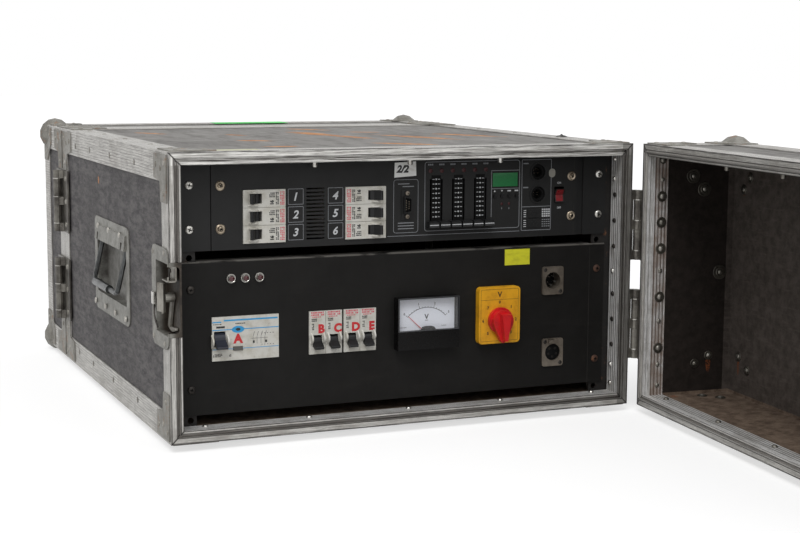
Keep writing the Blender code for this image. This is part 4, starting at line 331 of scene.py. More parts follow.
# Bare patches of the top, by their two ends (x, y) and half width
TOP_SCRAPES = (
    (-0.004, 0.108, 0.014, 0.03, 0.0085), (0.01, 0.036, 0.032, -0.046, 0.005),
    (-0.101, 0.081, -0.086, 0.053, 0.0045), (-0.123, -0.046, -0.093, -0.065, 0.0055),
    (-0.134, -0.168, -0.1, -0.17, 0.0045), (0.064, 0.096, 0.095, 0.08, 0.004),
    (0.075, 0.02, 0.117, -0.086, 0.006), (0.003, -0.135, 0.05, -0.182, 0.006),
    (0.15, 0.025, 0.192, -0.05, 0.006), (0.02, 0.19, 0.052, 0.15, 0.005),
    (-0.19, 0.15, -0.17, 0.115, 0.004),
)

# Rust that runs down from bolts inside the front lid while it is shut, by centre and half sizes
LID_RUST = (
    ((0.2495, -0.331, 0.043), (0.004, 0.0035, 0.012)), ((0.2285, -0.358, 0.043), (0.0028, 0.004, 0.014)),
    ((0.2285, -0.358, 0.236), (0.004, 0.004, 0.006)), ((0.242, -0.286, 0.0095), (0.006, 0.005, 0.003)),
)


def laminate_look(part, in_lid):
    """Worn board: grey outside, dark inside, with scrapes down to the wood on top; the top's paler base is
    partly painted light.
    """
    look = Look(part + "_laminate", (90, 88, 88), 0.6, shine=0.16)
    place = look.closed_place(part)
    x, y, z = look.split(place)
    distances = look.folded(x, y, z)
    cloud = look.noise(9.0, 6.0)
    mottle = look.noise(85.0, 8.0, 0.72)
    speck = look.noise(640.0, 3.0, 0.7)
    upright = look.noise(330.0, 4.0, 0.7, (1.0, 1.0, 0.1))
    level = look.noise(260.0, 4.0, 0.7, (0.12, 0.12, 1.0))
    weave = look.noise(150.0, 8.0, 0.74, (0.3, 0.3, 1.0))
    grime = look.noise(14.0, 7.0, 0.65, (1.0, 1.0, 0.45))
    shell = look.stained(
        look.blend(weave, 0.36, 0.64, (108, 105, 105), (68, 66, 68)),
        (grime, 0.54, 0.7, 0.35, (58, 54, 52)), (cloud, 0.42, 0.62, 0.35, (64, 62, 63)),
        (upright, 0.54, 0.76, 0.16, (60, 58, 59)), (level, 0.56, 0.76, 0.35, (126, 123, 120)),
        (speck, 0.54, 0.7, 0.45, (134, 130, 126)), (speck, 0.46, 0.3, 0.45, (50, 48, 50)))
    along = look.streaks(x, y, 0.06, 0.006, 6.0)
    fine = look.streaks(x, y, 0.02, 0.0016, 4.0)
    patch = look.noise(60.0, 8.0, 0.75, (1.0, 0.22, 1.0))
    # The top is paler than the sides: partly painted light from above, partly real scuffs, streaks and
    # scrapes.
    top = look.stained(
        look.blend(along, 0.3, 0.7, (148, 146, 143), (116, 114, 111)),
        (patch, 0.48, 0.64, 0.7, (94, 91, 88)), (patch, 0.44, 0.32, 0.5, (172, 169, 165)),
        (fine, 0.5, 0.66, 0.4, (80, 78, 77)), (cloud, 0.5, 0.66, 0.4, (92, 89, 87)))
    if part == "case":
        scrapes = []
        for x0, y0, x1, y1, half in TOP_SCRAPES:
            centre = ((x0 + x1) / 2, (y0 + y1) / 2, Z_HIGH)
            sizes = (1.25 * math.hypot(x1 - x0, y1 - y0) / 2, 1.7 * half, 0.02)
            scrapes.append(look.spot(place, centre, sizes, math.atan2(y1 - y0, x1 - x0), along, 1.2))
        wood = look.blend(mottle, 0.4, 0.6, (206, 146, 90), (160, 108, 68))
        top = look.tint(top, wood, look.any_of(*scrapes), look.spread(fine, 0.26, 0.4))
        nick = look.spot(place, (-SIDE_X, 0.0595, 0.238), (0.01, 0.003, 0.005), 0.0, speck, 0.8)
        shell = look.mix(nick, shell, (196, 136, 88))
    shell = look.mix(look.above(look.split(look.closed_facing(part))[2], 0.5), shell, top)
    lining = look.blend(mottle, 0.32, 0.7, (46, 40, 37), (30, 26, 23))
    lining = look.stained(lining, (upright, 0.5, 0.72, 0.4, (44, 38, 34)))
    if in_lid:
        # Inside a lid the lining of the outer board is paler: painted light, with streaks over it.
        worn = look.blend(mottle, 0.3, 0.72, (92, 85, 80), (64, 58, 54))
        worn = look.stained(worn, (level, 0.52, 0.74, 0.4, (112, 104, 98)))
        lining = look.mix(look.above(distances[1], LID_START + 0.1), lining, worn)
    dusty = look.blend(mottle, 0.32, 0.68, (132, 115, 100), (84, 70, 60))
    lining = look.tint(lining, dusty, look.below(z, 0.012), 0.9)
    if part == "front_lid":
        rust = [look.spot(place, centre, half, 0.0, speck, 0.6) for centre, half in LID_RUST]
        lining = look.tint(lining, (124, 70, 42), look.any_of(*rust), look.spread(speck, 0.38, 0.58))
    relief = look.plus(look.times(speck, 0.7), look.times(upright, 0.2))
    colour = look.mix(look.beyond(distances, in_lid, -0.006), lining, shell)
    look.cover(colour, look.scaled(mottle, 0.5, 0.8), relief, 0.00025)


def metal_frame_look(part, in_lid):
    """Ribbed aluminium, with zinc plates where the corners stand proud of it."""
    look = Look(part + "_metal", (190, 188, 184), 0.4, 0.7)
    x, y, z = look.split(look.closed_place(part))
    distances = look.folded(x, y, z)
    side, depth, height = distances
    normal = look.split(look.closed_facing(part))
    faces_side = look.above(look.size(normal[0]), 0.6)
    faces_front = look.above(look.size(normal[1]), 0.6)
    if in_lid:
        near_rim = look.below(depth, LID_START + 0.025)
    else:
        near_rim = look.above(depth, Y_RIM - 0.025)
    side_gap = look.less(SIDE_X, side)
    height_gap = look.less(HALF_HEIGHT, height)
    upright = look.below(side_gap, height_gap)
    from_edge = look.maths("MINIMUM", side_gap, height_gap)
    round_mouth = look.between(upright, x, z)
    run = look.between(near_rim, y, round_mouth)
    leg_across = look.between(near_rim, look.between(faces_side, side, height), depth)
    if in_lid:
        run = look.between(look.times(faces_front, look.rest(near_rim)), run, round_mouth)
    across = look.between(faces_front, leg_across, from_edge)
    grain = look.streaks(run, across, 0.05, 0.0011)
    scratch = look.streaks(run, across, 0.016, 0.00035, 3.0)
    cloud = look.noise(26.0, 7.0, 0.7)
    inner = look.times(near_rim, look.above(from_edge, 0.01), look.rest(faces_front))
    # The inner legs get a paler base and paler streaks: painted light where the lamps fall on them.
    light = look.mix(inner, (208, 206, 201), (248, 248, 248))
    streak = look.mix(inner, (150, 147, 143), (190, 187, 182))
    metal = look.stained(
        look.blend(grain, 0.36, 0.66, light, streak),
        (scratch, 0.53, 0.64, 0.72, (78, 75, 72)), (cloud, 0.46, 0.66, 0.45, (132, 127, 120)))
    groove = look.between(inner, look.ribs(leg_across, 0.0031), look.ribs(leg_across, 0.004, 0.24, 0.36))
    groove = look.times(groove, look.rest(faces_front))
    if in_lid:
        flat = look.spread(depth, LID_START + 0.009, LID_START + 0.0094)
        groove = look.times(groove, look.any_of(flat, look.rest(inner)))
    # The dark lines in the ribs are painted shade in their grooves.
    metal = look.tint(metal, (66, 62, 58), groove, look.between(inner, 0.55, 0.75))
    rim_front = look.times(faces_front, near_rim)
    sunk = look.less(look.spread(from_edge, 0.0058, 0.0064), look.spread(from_edge, 0.0101, 0.0108))
    tone = look.blend(grain, 0.42, 0.62, (112, 107, 102), (62, 58, 55))
    metal = look.tint(metal, tone, rim_front, sunk, 0.85)
    if part == "front_lid":
        outer = look.rest(look.spread(from_edge, 0.0046, 0.0056))
        pale = look.times(look.spread(from_edge, 0.006, 0.0066), look.between(upright, 0.2, 0.7))
        metal = look.tint(metal, (86, 83, 84), outer, upright, rim_front, 0.75)
        metal = look.tint(metal, (236, 234, 230), rim_front, pale)
    lip = look.rest(look.spread(from_edge, 0.001, 0.002))
    lines = [look.times(lip, look.spread(grain, 0.34, 0.52))]
    for at in (0.0062, 0.0106, 0.0128):
        lines.append(look.spot(look.joined(from_edge, 0.0), (at, 0.0, 0.0), (0.00045, 1.0, 1.0)))
    metal = look.tint(metal, (40, 37, 36), rim_front, look.any_of(*lines), 0.85)
    if part == "front_lid":
        metal = look.tint(metal, (116, 86, 64), inner, faces_side, look.spread(cloud, 0.3, 0.58), flat, 0.6)
    if part == "case":
        # On the case's rim front: painted highlight along the top, and painted shade on the right upright.
        upper = look.times(look.above(z, Z_HIGH - 0.013), look.spread(grain, 0.56, 0.42))
        metal = look.tint(metal, (255, 254, 250), rim_front, upper, 0.5)
        metal = look.tint(metal, (58, 54, 48), rim_front, look.above(x, SIDE_X - 0.013), 0.5)
    mitre = look.spread(look.size(look.less(side_gap, height_gap)), 0.0013, 0.0006)
    metal = look.tint(metal, (34, 31, 30), rim_front, mitre, 0.9)
    proud = look.beyond(distances, in_lid, 0.0002)
    zinc = look.stained(
        look.blend(cloud, 0.35, 0.68, (148, 146, 140), (112, 109, 102)),
        (look.noise(420.0, 4.0, 0.7), 0.52, 0.74, 0.5, (98, 94, 87)),
        (look.noise(70.0, 8.0, 0.72), 0.54, 0.66, 0.8, (134, 104, 80)))
    rough = look.plus(look.scaled(cloud, 0.34, 0.58), look.times(proud, 0.12))
    relief = look.less(look.less(look.times(grain, 0.35), groove), look.times(rim_front, sunk, 0.8))
    relief = look.plus(relief, look.times(cloud, 0.5))
    look.put("Metallic", look.between(inner, look.scaled(proud, 0.62, 0.5), 0.22))
    look.cover(look.mix(proud, metal, zinc), rough, relief, 0.0004)


def steel_look(name, bright, dark, roughness, metallic, rust_share):
    """Dull steel with stains; rust_share is how much of it has turned brown."""
    look = Look(name, bright, roughness, metallic)
    blotch = look.noise(48.0, 8.0, 0.72)
    fine = look.noise(420.0, 4.0, 0.7)
    limit = 0.74 - 0.26 * rust_share
    rust = look.spread(look.noise(75.0, 8.0, 0.72), limit, limit + 0.12)
    colour = look.mix(rust, look.blend(blotch, 0.32, 0.68, bright, dark), (112, 74, 48))
    look.put("Metallic", look.less(metallic, look.times(rust, metallic * 0.7)))
    relief = look.plus(fine, blotch)
    look.cover(colour, look.scaled(fine, roughness - 0.1, roughness + 0.15), relief, 0.00015)


def dish_look(name, light, dark):
    """Zinc pressing whose hollow is darker, between two colours: painted shade, with rust brown in the
    latch's.
    """
    look = Look(name, (140, 138, 130), 0.45, 0.6)
    side = look.size(look.split(look.place)[0])
    blotch = look.noise(60.0, 8.0, 0.72)
    fine = look.noise(420.0, 4.0, 0.7)
    face = look.stained(
        look.blend(blotch, 0.34, 0.68, (140, 139, 133), (102, 100, 95)),
        (fine, 0.56, 0.74, 0.5, (186, 184, 178)), (blotch, 0.66, 0.76, 1.0, (92, 78, 64)))
    # The hollow's darker colours are painted shade, browner in the latch's dish where it has rusted.
    depth = look.rest(look.spread(side, SIDE_X - 0.008, SIDE_X - 0.0005))
    colour = look.mix(depth, face, look.blend(blotch, 0.36, 0.62, light, dark))
    look.put("Metallic", look.scaled(depth, 0.6, 0.25))
    look.cover(colour, look.scaled(fine, 0.38, 0.66), look.plus(fine, blotch), 0.00018)


def rocker_look(name):
    """Dark red rocker in a black surround."""
    look = Look(name, (150, 22, 32), 0.3)
    x, y, z = look.split(look.place)
    across = look.size(look.less(x, ROCKER_X))
    along = look.size(look.less(z, ROCKER_Z))
    surround = look.any_of(look.spread(across, 0.004, 0.0044), look.spread(along, 0.006, 0.0064))
    cloud = look.noise(160.0, 5.0)
    red = look.blend(cloud, 0.4, 0.7, (126, 20, 28), (88, 15, 22))
    look.cover(look.mix(surround, red, (24, 22, 22)), look.scaled(cloud, 0.2, 0.4))


def panel_look(name):
    """Satin black panel, scuffed, with a bright top edge: worn paint and a painted highlight."""
    look = Look(name, (25, 24, 22), 0.55, shine=0.14)
    cloud = look.noise(20.0, 8.0, 0.7)
    dust = look.noise(300.0, 5.0, 0.75, (1.0, 1.0, 0.25))
    wipe = look.noise(60.0, 5.0, 0.7, (0.25, 1.0, 1.0))
    colour = look.stained(
        look.blend(cloud, 0.35, 0.7, (27, 26, 25), (21, 20, 19)),
        (wipe, 0.52, 0.74, 0.35, (38, 36, 34)), (dust, 0.64, 0.8, 0.4, (66, 62, 57)))
    # Bright top edge: partly worn paint, partly painted highlight.
    edge = look.spread(look.split(look.place)[2], BASE + 0.1657, BASE + 0.1672)
    broken = look.spread(look.noise(60.0, 5.0, stretch=(0.5, 1.0, 1.0)), 0.36, 0.5)
    colour = look.tint(colour, (120, 117, 112), edge, broken, 0.7)
    look.cover(colour, look.scaled(dust, 0.42, 0.72), dust, 0.00008)


def breaker_look(name):
    """Aged off-white plastic, yellowed and grubby in places."""
    look = Look(name, (206, 204, 196), 0.42)
    cloud = look.noise(85.0, 7.0, 0.7)
    grime = look.noise(260.0, 5.0, 0.7)
    colour = look.blend(cloud, 0.4, 0.72, (208, 206, 199), (186, 182, 170))
    colour = look.stained(colour, (grime, 0.6, 0.78, 0.5, (140, 132, 116)))
    look.cover(colour, look.scaled(cloud, 0.34, 0.55), grime, 0.00004)


def plain_look(name, colour, roughness, dirt=0.3, shine=0.3):
    """Moulded or painted surface with fine grain and a little grime."""
    look = Look(name, colour, roughness, shine=shine)
    cloud = look.noise(38.0, 6.0)
    grimy = look.blend(cloud, 0.42, 0.68, colour, linear(colour, 1.0 - dirt))
    rough = look.scaled(cloud, max(roughness - 0.12, 0.05), min(roughness + 0.12, 1.0))
    look.cover(grimy, rough, look.noise(900.0, 2.0), 0.00003)


def glossy_look(name, colour, worn, roughness=0.3):
    """Shiny plastic, worn in places and scuffed."""
    look = Look(name, colour, roughness)
    scuff = look.noise(240.0, 5.0, 0.75, (1.0, 1.0, 0.3))
    mixed = look.blend(look.noise(60.0, 7.0, 0.7), 0.4, 0.75, colour, worn)
    mixed = look.stained(mixed, (scuff, 0.62, 0.8, 0.4, worn))
    look.cover(mixed, look.scaled(scuff, roughness - 0.1, roughness + 0.22), scuff, 0.00005)


def lens_look(name, colour, roughness=0.12, coat=0.6):
    """Deep coloured lens."""
    look = Look(name, colour, roughness, shine=0.3)
    look.put("Coat Weight", coat)
    look.put("Base Color", look.mix(look.noise(500.0, 2.0), colour, linear(colour, 0.6)))


def tape_look(name, colour, dirty):
    """Creased tape or paper."""
    look = Look(name, colour, 0.55)
    crease = look.noise(120.0, 6.0, 0.7, (0.3, 1.0, 1.0))
    look.cover(look.blend(crease, 0.5, 0.75, colour, dirty), 0.55, crease, 0.0002)


def print_look(name, colour):
    """Printing ink, slightly worn."""
    look = Look(name, colour, 0.5)
    wear = look.noise(700.0, 4.0, 0.7)
    look.put("Base Color", look.blend(wear, 0.5, 0.72, colour, linear(colour, 0.72)))


def glass_look(name):
    look = Look(name, (255, 255, 255), 0.06)
    look.put("Alpha", 0.05)
    look.put("Roughness", look.scaled(look.noise(50.0), 0.03, 0.12))


# Mesh helpers

def polar(x, z, angle, radius, high_radius=None):
    """(x, z) at an angle in degrees on a circle, or on an oval with a radius of its own upward."""
    turn = math.radians(angle)
    return x + radius * math.cos(turn), z + (high_radius or radius) * math.sin(turn)


def arc(x, z, radius, start, end, steps):
    return [polar(x, z, start + (end - start) * step / steps, radius) for step in range(steps + 1)]


def round_rectangle(x, z, width, height, radius):
    points = []
    for quarter, (right, up) in enumerate(((1, 1), (-1, 1), (-1, -1), (1, -1))):
        start = 90.0 * quarter
        centre = (x + right * (width / 2 - radius), z + up * (height / 2 - radius))
        points += arc(*centre, radius, start, start + 90.0, 4)
    return points


def bridge(mesh, near, far):
    """Faces between two closed rows, either of which may be a single point."""
    count = max(len(near), len(far))
    for index in range(count):
        other = (index + 1) % count
        if len(near) == 1:
            mesh.faces.new((near[0], far[index], far[other]))
        elif len(far) == 1:
            mesh.faces.new((near[other], near[index], far[0]))
        else:
            mesh.faces.new((near[other], near[index], far[index], far[other]))


def skin(mesh, near, far):
    """Closed prism between two rows of points."""
    near = [mesh.verts.new(point) for point in near]
    far = [mesh.verts.new(point) for point in far]
    mesh.faces.new(near)
    mesh.faces.new(far[::-1])
    bridge(mesh, near, far)


def slab(mesh, outline, front=PANEL - PRINT, back=PANEL):
    """Extrude an outline of (x, height) points between two depths."""
    skin(mesh, *[[(x, y, BASE + height) for x, height in outline] for y in (front, back)])


def tile(mesh, x, height, width, tall, front=PANEL - PRINT, back=PANEL):
    """Thin rectangle that faces -Y, printed on the panels if no depths are given."""
    slab(mesh, [(x + a * width / 2, height + b * tall / 2) for a, b in SQUARE], front, back)


def block(mesh, low, high, chamfer=0.0):
    """Box between opposite corners, its edges broken by a small chamfer."""
    made = bmesh.ops.create_cube(mesh, size=1.0)["verts"]
    for vertex in made:
        vertex.co = Vector([share * abs(b - a) + (a + b) / 2 for a, b, share in zip(low, high, vertex.co)])
    if chamfer:
        edges = {edge for vertex in made for edge in vertex.link_edges}
        bmesh.ops.bevel(mesh, geom=list(edges), offset=chamfer, segments=2, profile=0.6, affect="EDGES")


def hoop(mesh, outer, inner, front, back):
    """Flat ring between two outlines with the same number of points."""
    rows = []
    for outline, y in ((outer, front), (inner, front), (inner, back), (outer, back)):
        rows.append([mesh.verts.new((x, y, BASE + height)) for x, height in outline])
    for near, far in zip(rows, rows[1:] + rows[:1]):
        bridge(mesh, near, far)


def printed_frame(mesh, x, height, width, tall, line, radius, front=PANEL - PRINT, back=PANEL):
    """Thin printed outline round a centre."""
    inner = round_rectangle(x, height, width - 2 * line, tall - 2 * line, max(radius - line, 0.0001))
    hoop(mesh, round_rectangle(x, height, width, tall, radius), inner, front, back)


def ring(mesh, centre, across, other, radius, segments):
    points = []
    for step in range(segments):
        angle = 2.0 * math.pi * step / segments
        points.append(mesh.verts.new(centre + (across * math.cos(angle) + other * math.sin(angle)) * radius))
    return points


def spun(mesh, profile, place, axis, segments=20):
    """Revolve (radius, height) points about an axis that leaves a surface at place."""
    axis = Vector(axis).normalized()
    across = axis.orthogonal().normalized()
    rings = []
    for radius, height in profile:
        centre = Vector(place) + axis * height
        rings.append(ring(mesh, centre, across, axis.cross(across), radius, segments if radius else 1))
    for near, far in zip(rings, rings[1:]):
        bridge(mesh, near, far)


def stud(mesh, profile, x, height, segments=20, y=PANEL):
    """Spun shape that stands on a panel and faces -Y."""
    spun(mesh, profile, (x, y, BASE + height), (0, -1, 0), segments)


def wire(mesh, points, radius):
    """Round wire along a path, with closed ends."""
    points = [Vector(point) for point in points]
    normal = (points[1] - points[0]).orthogonal().normalized()
    rings = []
    for index, point in enumerate(points):
        along = (points[min(index + 1, len(points) - 1)] - points[max(index - 1, 0)]).normalized()
        normal = (normal - along * normal.dot(along)).normalized()
        rings.append(ring(mesh, point, normal, along.cross(normal), radius, 8))
    for near, far in zip(rings, rings[1:]):
        bridge(mesh, near, far)
    mesh.faces.new(rings[0][::-1])
    mesh.faces.new(rings[-1])


def dome(radius, height, sink=0.0005):
    """Profile of a round head that sits on a surface."""
    points = [(0.0, -sink), (radius, -sink), (radius, height * 0.12)]
    for step in range(1, 5):
        angle = math.radians(90.0 * step / 5)
        points.append((radius * math.cos(angle), height * (0.12 + 0.88 * math.sin(angle))))
    return points + [(0.0, height)]


def cup(radius, height, hole):
    """Profile of a dished cup washer."""
    return [
        (hole, -0.0003), (radius, -0.0003), (radius, height * 0.25), (radius * 0.86, height * 0.8),
        (radius * 0.72, height), (hole, height * 0.7), (hole, -0.0003),
    ]


def washer(radius, thickness, hole=0.0012):
    """Profile of a flat washer with a rounded edge."""
    return [
        (hole, -0.0002), (radius, -0.0002), (radius, thickness * 0.6), (radius - thickness * 0.4, thickness),
        (hole, thickness), (hole, -0.0002),
    ]


def tube(inner, outer, low, high):
    """Profile of a flat ring, or of a disc if the inner radius is 0."""
    corners = [(inner, low), (outer, low), (outer, high), (inner, high)]
    return corners + corners[:1] if inner else corners


def cross_recess(mesh, x, height, lift, lean, reach, raised):
    """Dark cross of the driver's recess, painted shade in the hollow, on a head that stands out from the
    panel by a lift.
    """
    up = Vector((lean, 0.0, 1.0)).normalized()
    across = Vector((0.0, -1.0, 0.0)).cross(up)
    for first, second in ((up, across), (across, up)):
        rows = []
        for level in (-0.0004, raised):
            centre = Vector((x, PANEL - lift - level, BASE + height))
            rows.append([centre + first * (a * reach) + second * (b * 0.0005) for a, b in SQUARE])
        skin(mesh, *rows)


def letters(mesh, text, x, height, size, front=PANEL - PRINT, shear=0.0, weight=0.0, turn=0.0):
    """Text centred on (x, height), facing -Y; size is its cap height."""
    curve = bpy.data.curves.new("text", "FONT")
    curve.body = text
    curve.align_x = "CENTER"
    curve.align_y = "CENTER"
    curve.size = 1.0
    curve.shear = shear
    curve.offset = weight
    curve.resolution_u = 4
    curve.extrude = 0.05
    item = bpy.data.objects.new("text", curve)
    bpy.context.scene.collection.objects.link(item)
    bpy.context.view_layer.update()
    flat = bpy.data.meshes.new_from_object(item.evaluated_get(bpy.context.evaluated_depsgraph_get()))
    bpy.data.objects.remove(item)
    xs = [vertex.co.x for vertex in flat.vertices]
    ys = [vertex.co.y for vertex in flat.vertices]
    scale = size / (max(ys) - min(ys))
    for vertex in flat.vertices:
        across = (vertex.co.x - (min(xs) + max(xs)) / 2) * scale
        up = (vertex.co.y - (min(ys) + max(ys)) / 2) * scale
        depth = front if vertex.co.z > 0 else front + 0.00008
        right = x + across * math.cos(turn) - up * math.sin(turn)
        vertex.co = Vector((right, depth, BASE + height + across * math.sin(turn) + up * math.cos(turn)))
    mesh.from_mesh(flat)
    bpy.data.meshes.remove(flat)


# Pieces

PIECES = []


def new_piece(name, finish, body="case", smooth=40.0):
    """Empty mesh of a piece, to be filled before finish_pieces."""
    mesh = bmesh.new()
    PIECES.append((name, mesh, finish, body, smooth))
    return mesh


def finish_pieces():
    """Turn each mesh into a piece that rides on its body."""
    for name, mesh, finish, body, smooth in PIECES:
        bmesh.ops.recalc_face_normals(mesh, faces=mesh.faces)
        data = bpy.data.meshes.new(name)
        mesh.to_mesh(data)
        mesh.free()
        data.shade_smooth()
        data.set_sharp_from_angle(angle=math.radians(smooth))
        data.materials.append(LOOKS[finish])
        item = bpy.data.objects.new(name, data)
        bpy.context.scene.collection.objects.link(item)
        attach(item, body)


# Finishes, by the name of the material

FINISHES = {
    steel_look: (
        ("zinc", (158, 155, 148), (112, 108, 100), 0.42, 0.75, 0.2),
        ("hinge_steel", (122, 119, 112), (68, 64, 60), 0.4, 0.7, 0.3),
        ("washer_steel", (84, 80, 72), (52, 49, 44), 0.45, 0.6, 0.2),
        ("rivet_zinc", (190, 187, 180), (150, 146, 138), 0.4, 0.6, 0.1),
        ("dull_head", (150, 147, 140), (96, 93, 86), 0.42, 0.8, 0.3),
        ("bail_steel", (92, 94, 94), (50, 51, 51), 0.3, 0.85, 0.12),
        ("rail", (30, 27, 25), (20, 18, 17), 0.7, 0.2, 0.6),
        ("nickel", (140, 131, 120), (104, 96, 86), 0.4, 0.7, 0.1),
        ("bright_screw", (205, 203, 198), (150, 147, 141), 0.25, 0.95, 0.0),
        ("brass_screw", (176, 164, 146), (104, 93, 80), 0.3, 0.9, 0.15),
        ("rusty_screw", (80, 54, 42), (48, 34, 28), 0.7, 0.3, 0.7),
        ("dark_screw", (62, 58, 54), (34, 31, 29), 0.4, 0.7, 0.2),
    ),
    dish_look: (
        ("latch_dish", (70, 62, 53), (34, 27, 21)), ("handle_dish", (128, 127, 122), (84, 81, 76)),
    ),
    plain_look: (
        ("dimmer_paint", (37, 37, 37), 0.5, 0.12, 0.18), ("black_plastic", (27, 27, 28), 0.4),
        ("recess_black", (13, 13, 13), 0.7, 0.3, 0.1), ("gloss_black", (15, 14, 14), 0.25, 0.2, 0.15),
        ("navy_plastic", (34, 37, 48), 0.34, 0.3, 0.4), ("grey_plastic", (92, 90, 86), 0.45),
        # The seam colour is a painted highlight on the panels' edges.
        ("panel_seam", (52, 50, 48), 0.5, 0.3, 0.15), ("dial_white", (240, 243, 252), 0.5, 0.05, 0.2),
        ("clear_edge", (72, 73, 76), 0.2, 0.3, 0.5),
    ),
    glossy_look: (
        ("red_plastic", (214, 30, 34), (168, 26, 30)),
        ("yellow_plastic", (232, 170, 28), (200, 140, 24), 0.4),
    ),
    lens_look: (
        ("display_green", (44, 128, 74), 0.5, 0.12), ("neon_lens", (84, 30, 34)),
        ("dim_led", (58, 13, 17), 0.5, 0.1),
    ),
    panel_look: (("panel_black",),),
    breaker_look: (("breaker_plastic",),),
    rocker_look: (("rocker_red",),),
    glass_look: (("meter_glass",),),
    print_look: (
        ("white_ink", (196, 198, 200)), ("grey_ink", (132, 134, 138)), ("brown_ink", (74, 46, 18)),
        ("black_ink", (26, 26, 26)), ("red_ink", (198, 40, 46)), ("pale_red_ink", (204, 92, 104)),
        ("blue_ink", (50, 152, 208)), ("needle_red", (214, 84, 78)),
    ),
    tape_look: (
        ("white_tape", (244, 244, 242), (216, 214, 208)), ("green_tape", (72, 205, 92), (48, 160, 66)),
        ("putty_spot", (150, 148, 140), (110, 107, 100)),
        ("cream_tape", (196, 196, 166), (160, 156, 132)), ("dark_tape", (48, 46, 44), (28, 26, 25)),
        ("yellow_label", (216, 214, 44), (190, 186, 40)),
    ),
}

# Finishes of the model's nodes, by a part of the node's name; the first that fits counts
NODE_FINISHES = (
    ("rack_rail", "rail"), ("latch_dish", "latch_dish"), ("latch_wing", "zinc"),
    ("handle_dish", "handle_dish"), ("handle_bail", "bail_steel"), ("power_rocker", "rocker_red"),
    ("dimmer_chassis", "dimmer_paint"), ("dimmer_front_plate", "dimmer_paint"),
    ("_breakers", "breaker_plastic"), ("distribution_panel", "panel_black"), ("rcd_toggle", "navy_plastic"),
    ("rcd_test_button", "grey_plastic"), ("voltmeter_case", "gloss_black"),
    ("voltmeter_needle", "needle_red"), ("selector_plate", "yellow_plastic"),
    ("selector_knob", "red_plastic"), ("control_", "nickel"), ("outlet_tab", "nickel"),
    ("hinge", "hinge_steel"), ("", "black_plastic"),
)


def dress_nodes():
    """Give every node of the model its finish."""
    own = {}
    for part, in_lid in (("front_lid", True), ("rear_lid", True), ("case", False)):
        laminate_look(part, in_lid)
        metal_frame_look(part, in_lid)
        own[part + "_boards"] = part + "_laminate"
        own[part + "_frame"] = part + "_metal"
    for name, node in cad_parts.items():
        finish = own.get(name) or next(finish for key, finish in NODE_FINISHES if key in name)
        node.data.materials.clear()
        node.data.materials.append(LOOKS[finish])


# Case hardware; a rim's fittings are given by x, distance from the rim and z

RIM_RIVETS_X = (-0.2203, -0.1094, 0.0025, 0.111, 0.2245)
TOP_BOLTS_X = (-0.104, 0.0014, 0.106)
RIM_RIVETS_Z = (0.27, 0.2485, 0.146, 0.041, 0.0195)
TOP_BOLT = ((0.0, -0.0005), (0.0028, -0.0005), (0.0028, 0.0056), (0.0021, 0.0068), (0.0, 0.0071))
LEG = WALL + 0.0015
PLATE = 0.0013
HINGE_LENGTH = 0.077
HINGE_MIDDLES = (Z_MID + 0.055, Z_MID - 0.055)
HINGE_BOLTS_Z = [middle + offset for middle in HINGE_MIDDLES for offset in (-0.0285, 0.0, 0.0285)]
KNUCKLE_RADIUS = 0.005
EDGES = [(side, upper, edge) for side in (-1, 1) for upper, edge in ((-1, Z_LOW), (1, Z_HIGH))]

# Bolts inside the lids: (z, radius of the washer) on the hinge side's leg, (y, z) on the side wall,
# (x, z) on the outer board and (x, y) on the lower rim
LID_LEG_BOLTS = ((0.2309, 0.0058), (0.2024, 0.006), (0.1736, 0.006), (0.1203, 0.006), (0.0634, 0.0058),
                 (0.2705, 0.0042))
LID_LEG_RIVETS = (0.2492, 0.1494, 0.0935, 0.0451, 0.0216)
LID_WALL_BOLTS = ((-0.306, 0.2524), (-0.32, 0.2378), (-0.342, 0.1449), (-0.331, 0.0515), (-0.314, 0.0431))
LID_BOARD_BOLTS = ((0.2158, 0.2522), (0.2289, 0.238), (0.2098, 0.0402), (0.2284, 0.0525))
LID_RIM_BOLTS = ((0.236, -0.3175), (0.2215, -0.332))

HALF_TURN = Matrix.Diagonal((-1.0, -1.0, 1.0, 1.0))
OPENED = Matrix.Translation(HINGE) @ Matrix.Rotation(LID_OPEN, 4, "Z") @ Matrix.Translation(-HINGE)


def fitter(turn, rim_y, inward):
    """Function that stands a spun shape on a rim, which a turn takes from the shut front to its place."""
    def put(mesh, profile, x, distance, z, axis, segments=14):
        place = turn @ Vector((x, rim_y + inward * distance, z))
        spun(mesh, profile, place, turn.to_3x3() @ Vector(axis), segments)
    return put


def brace_rivets(put, mesh):
    """Rivets of the corner braces at one rim."""
    head = dome(0.003, 0.0011)
    for side, upper, edge in EDGES:
        for distance, inset in ((0.01, 0.011), (0.024, 0.017), (0.041, 0.014), (0.014, 0.041)):
            put(mesh, head, side * (SIDE_X + PLATE), distance, edge - upper * inset, (side, 0, 0), 12)
            put(mesh, head, side * (SIDE_X - inset), distance, edge + upper * PLATE, (0, 0, upper), 12)


def rim_rivets(put, mesh, hinge_side):
    """Bright round heads on the inner legs of one rim."""
    for x in RIM_RIVETS_X:
        put(mesh, dome(0.0031, 0.0025), x, 0.0175, Z_LOW + LEG, (0, 0, 1))
    for x in TOP_BOLTS_X:
        put(mesh, TOP_BOLT, x, 0.015, Z_HIGH - LEG, (0, 0, -1))
    for z in RIM_RIVETS_Z:
        put(mesh, dome(0.0028, 0.0023), LEG - SIDE_X, 0.0175, z, (1, 0, 0))
        if hinge_side:
            put(mesh, dome(0.0028, 0.0023), SIDE_X - LEG, 0.0175, z, (-1, 0, 0))


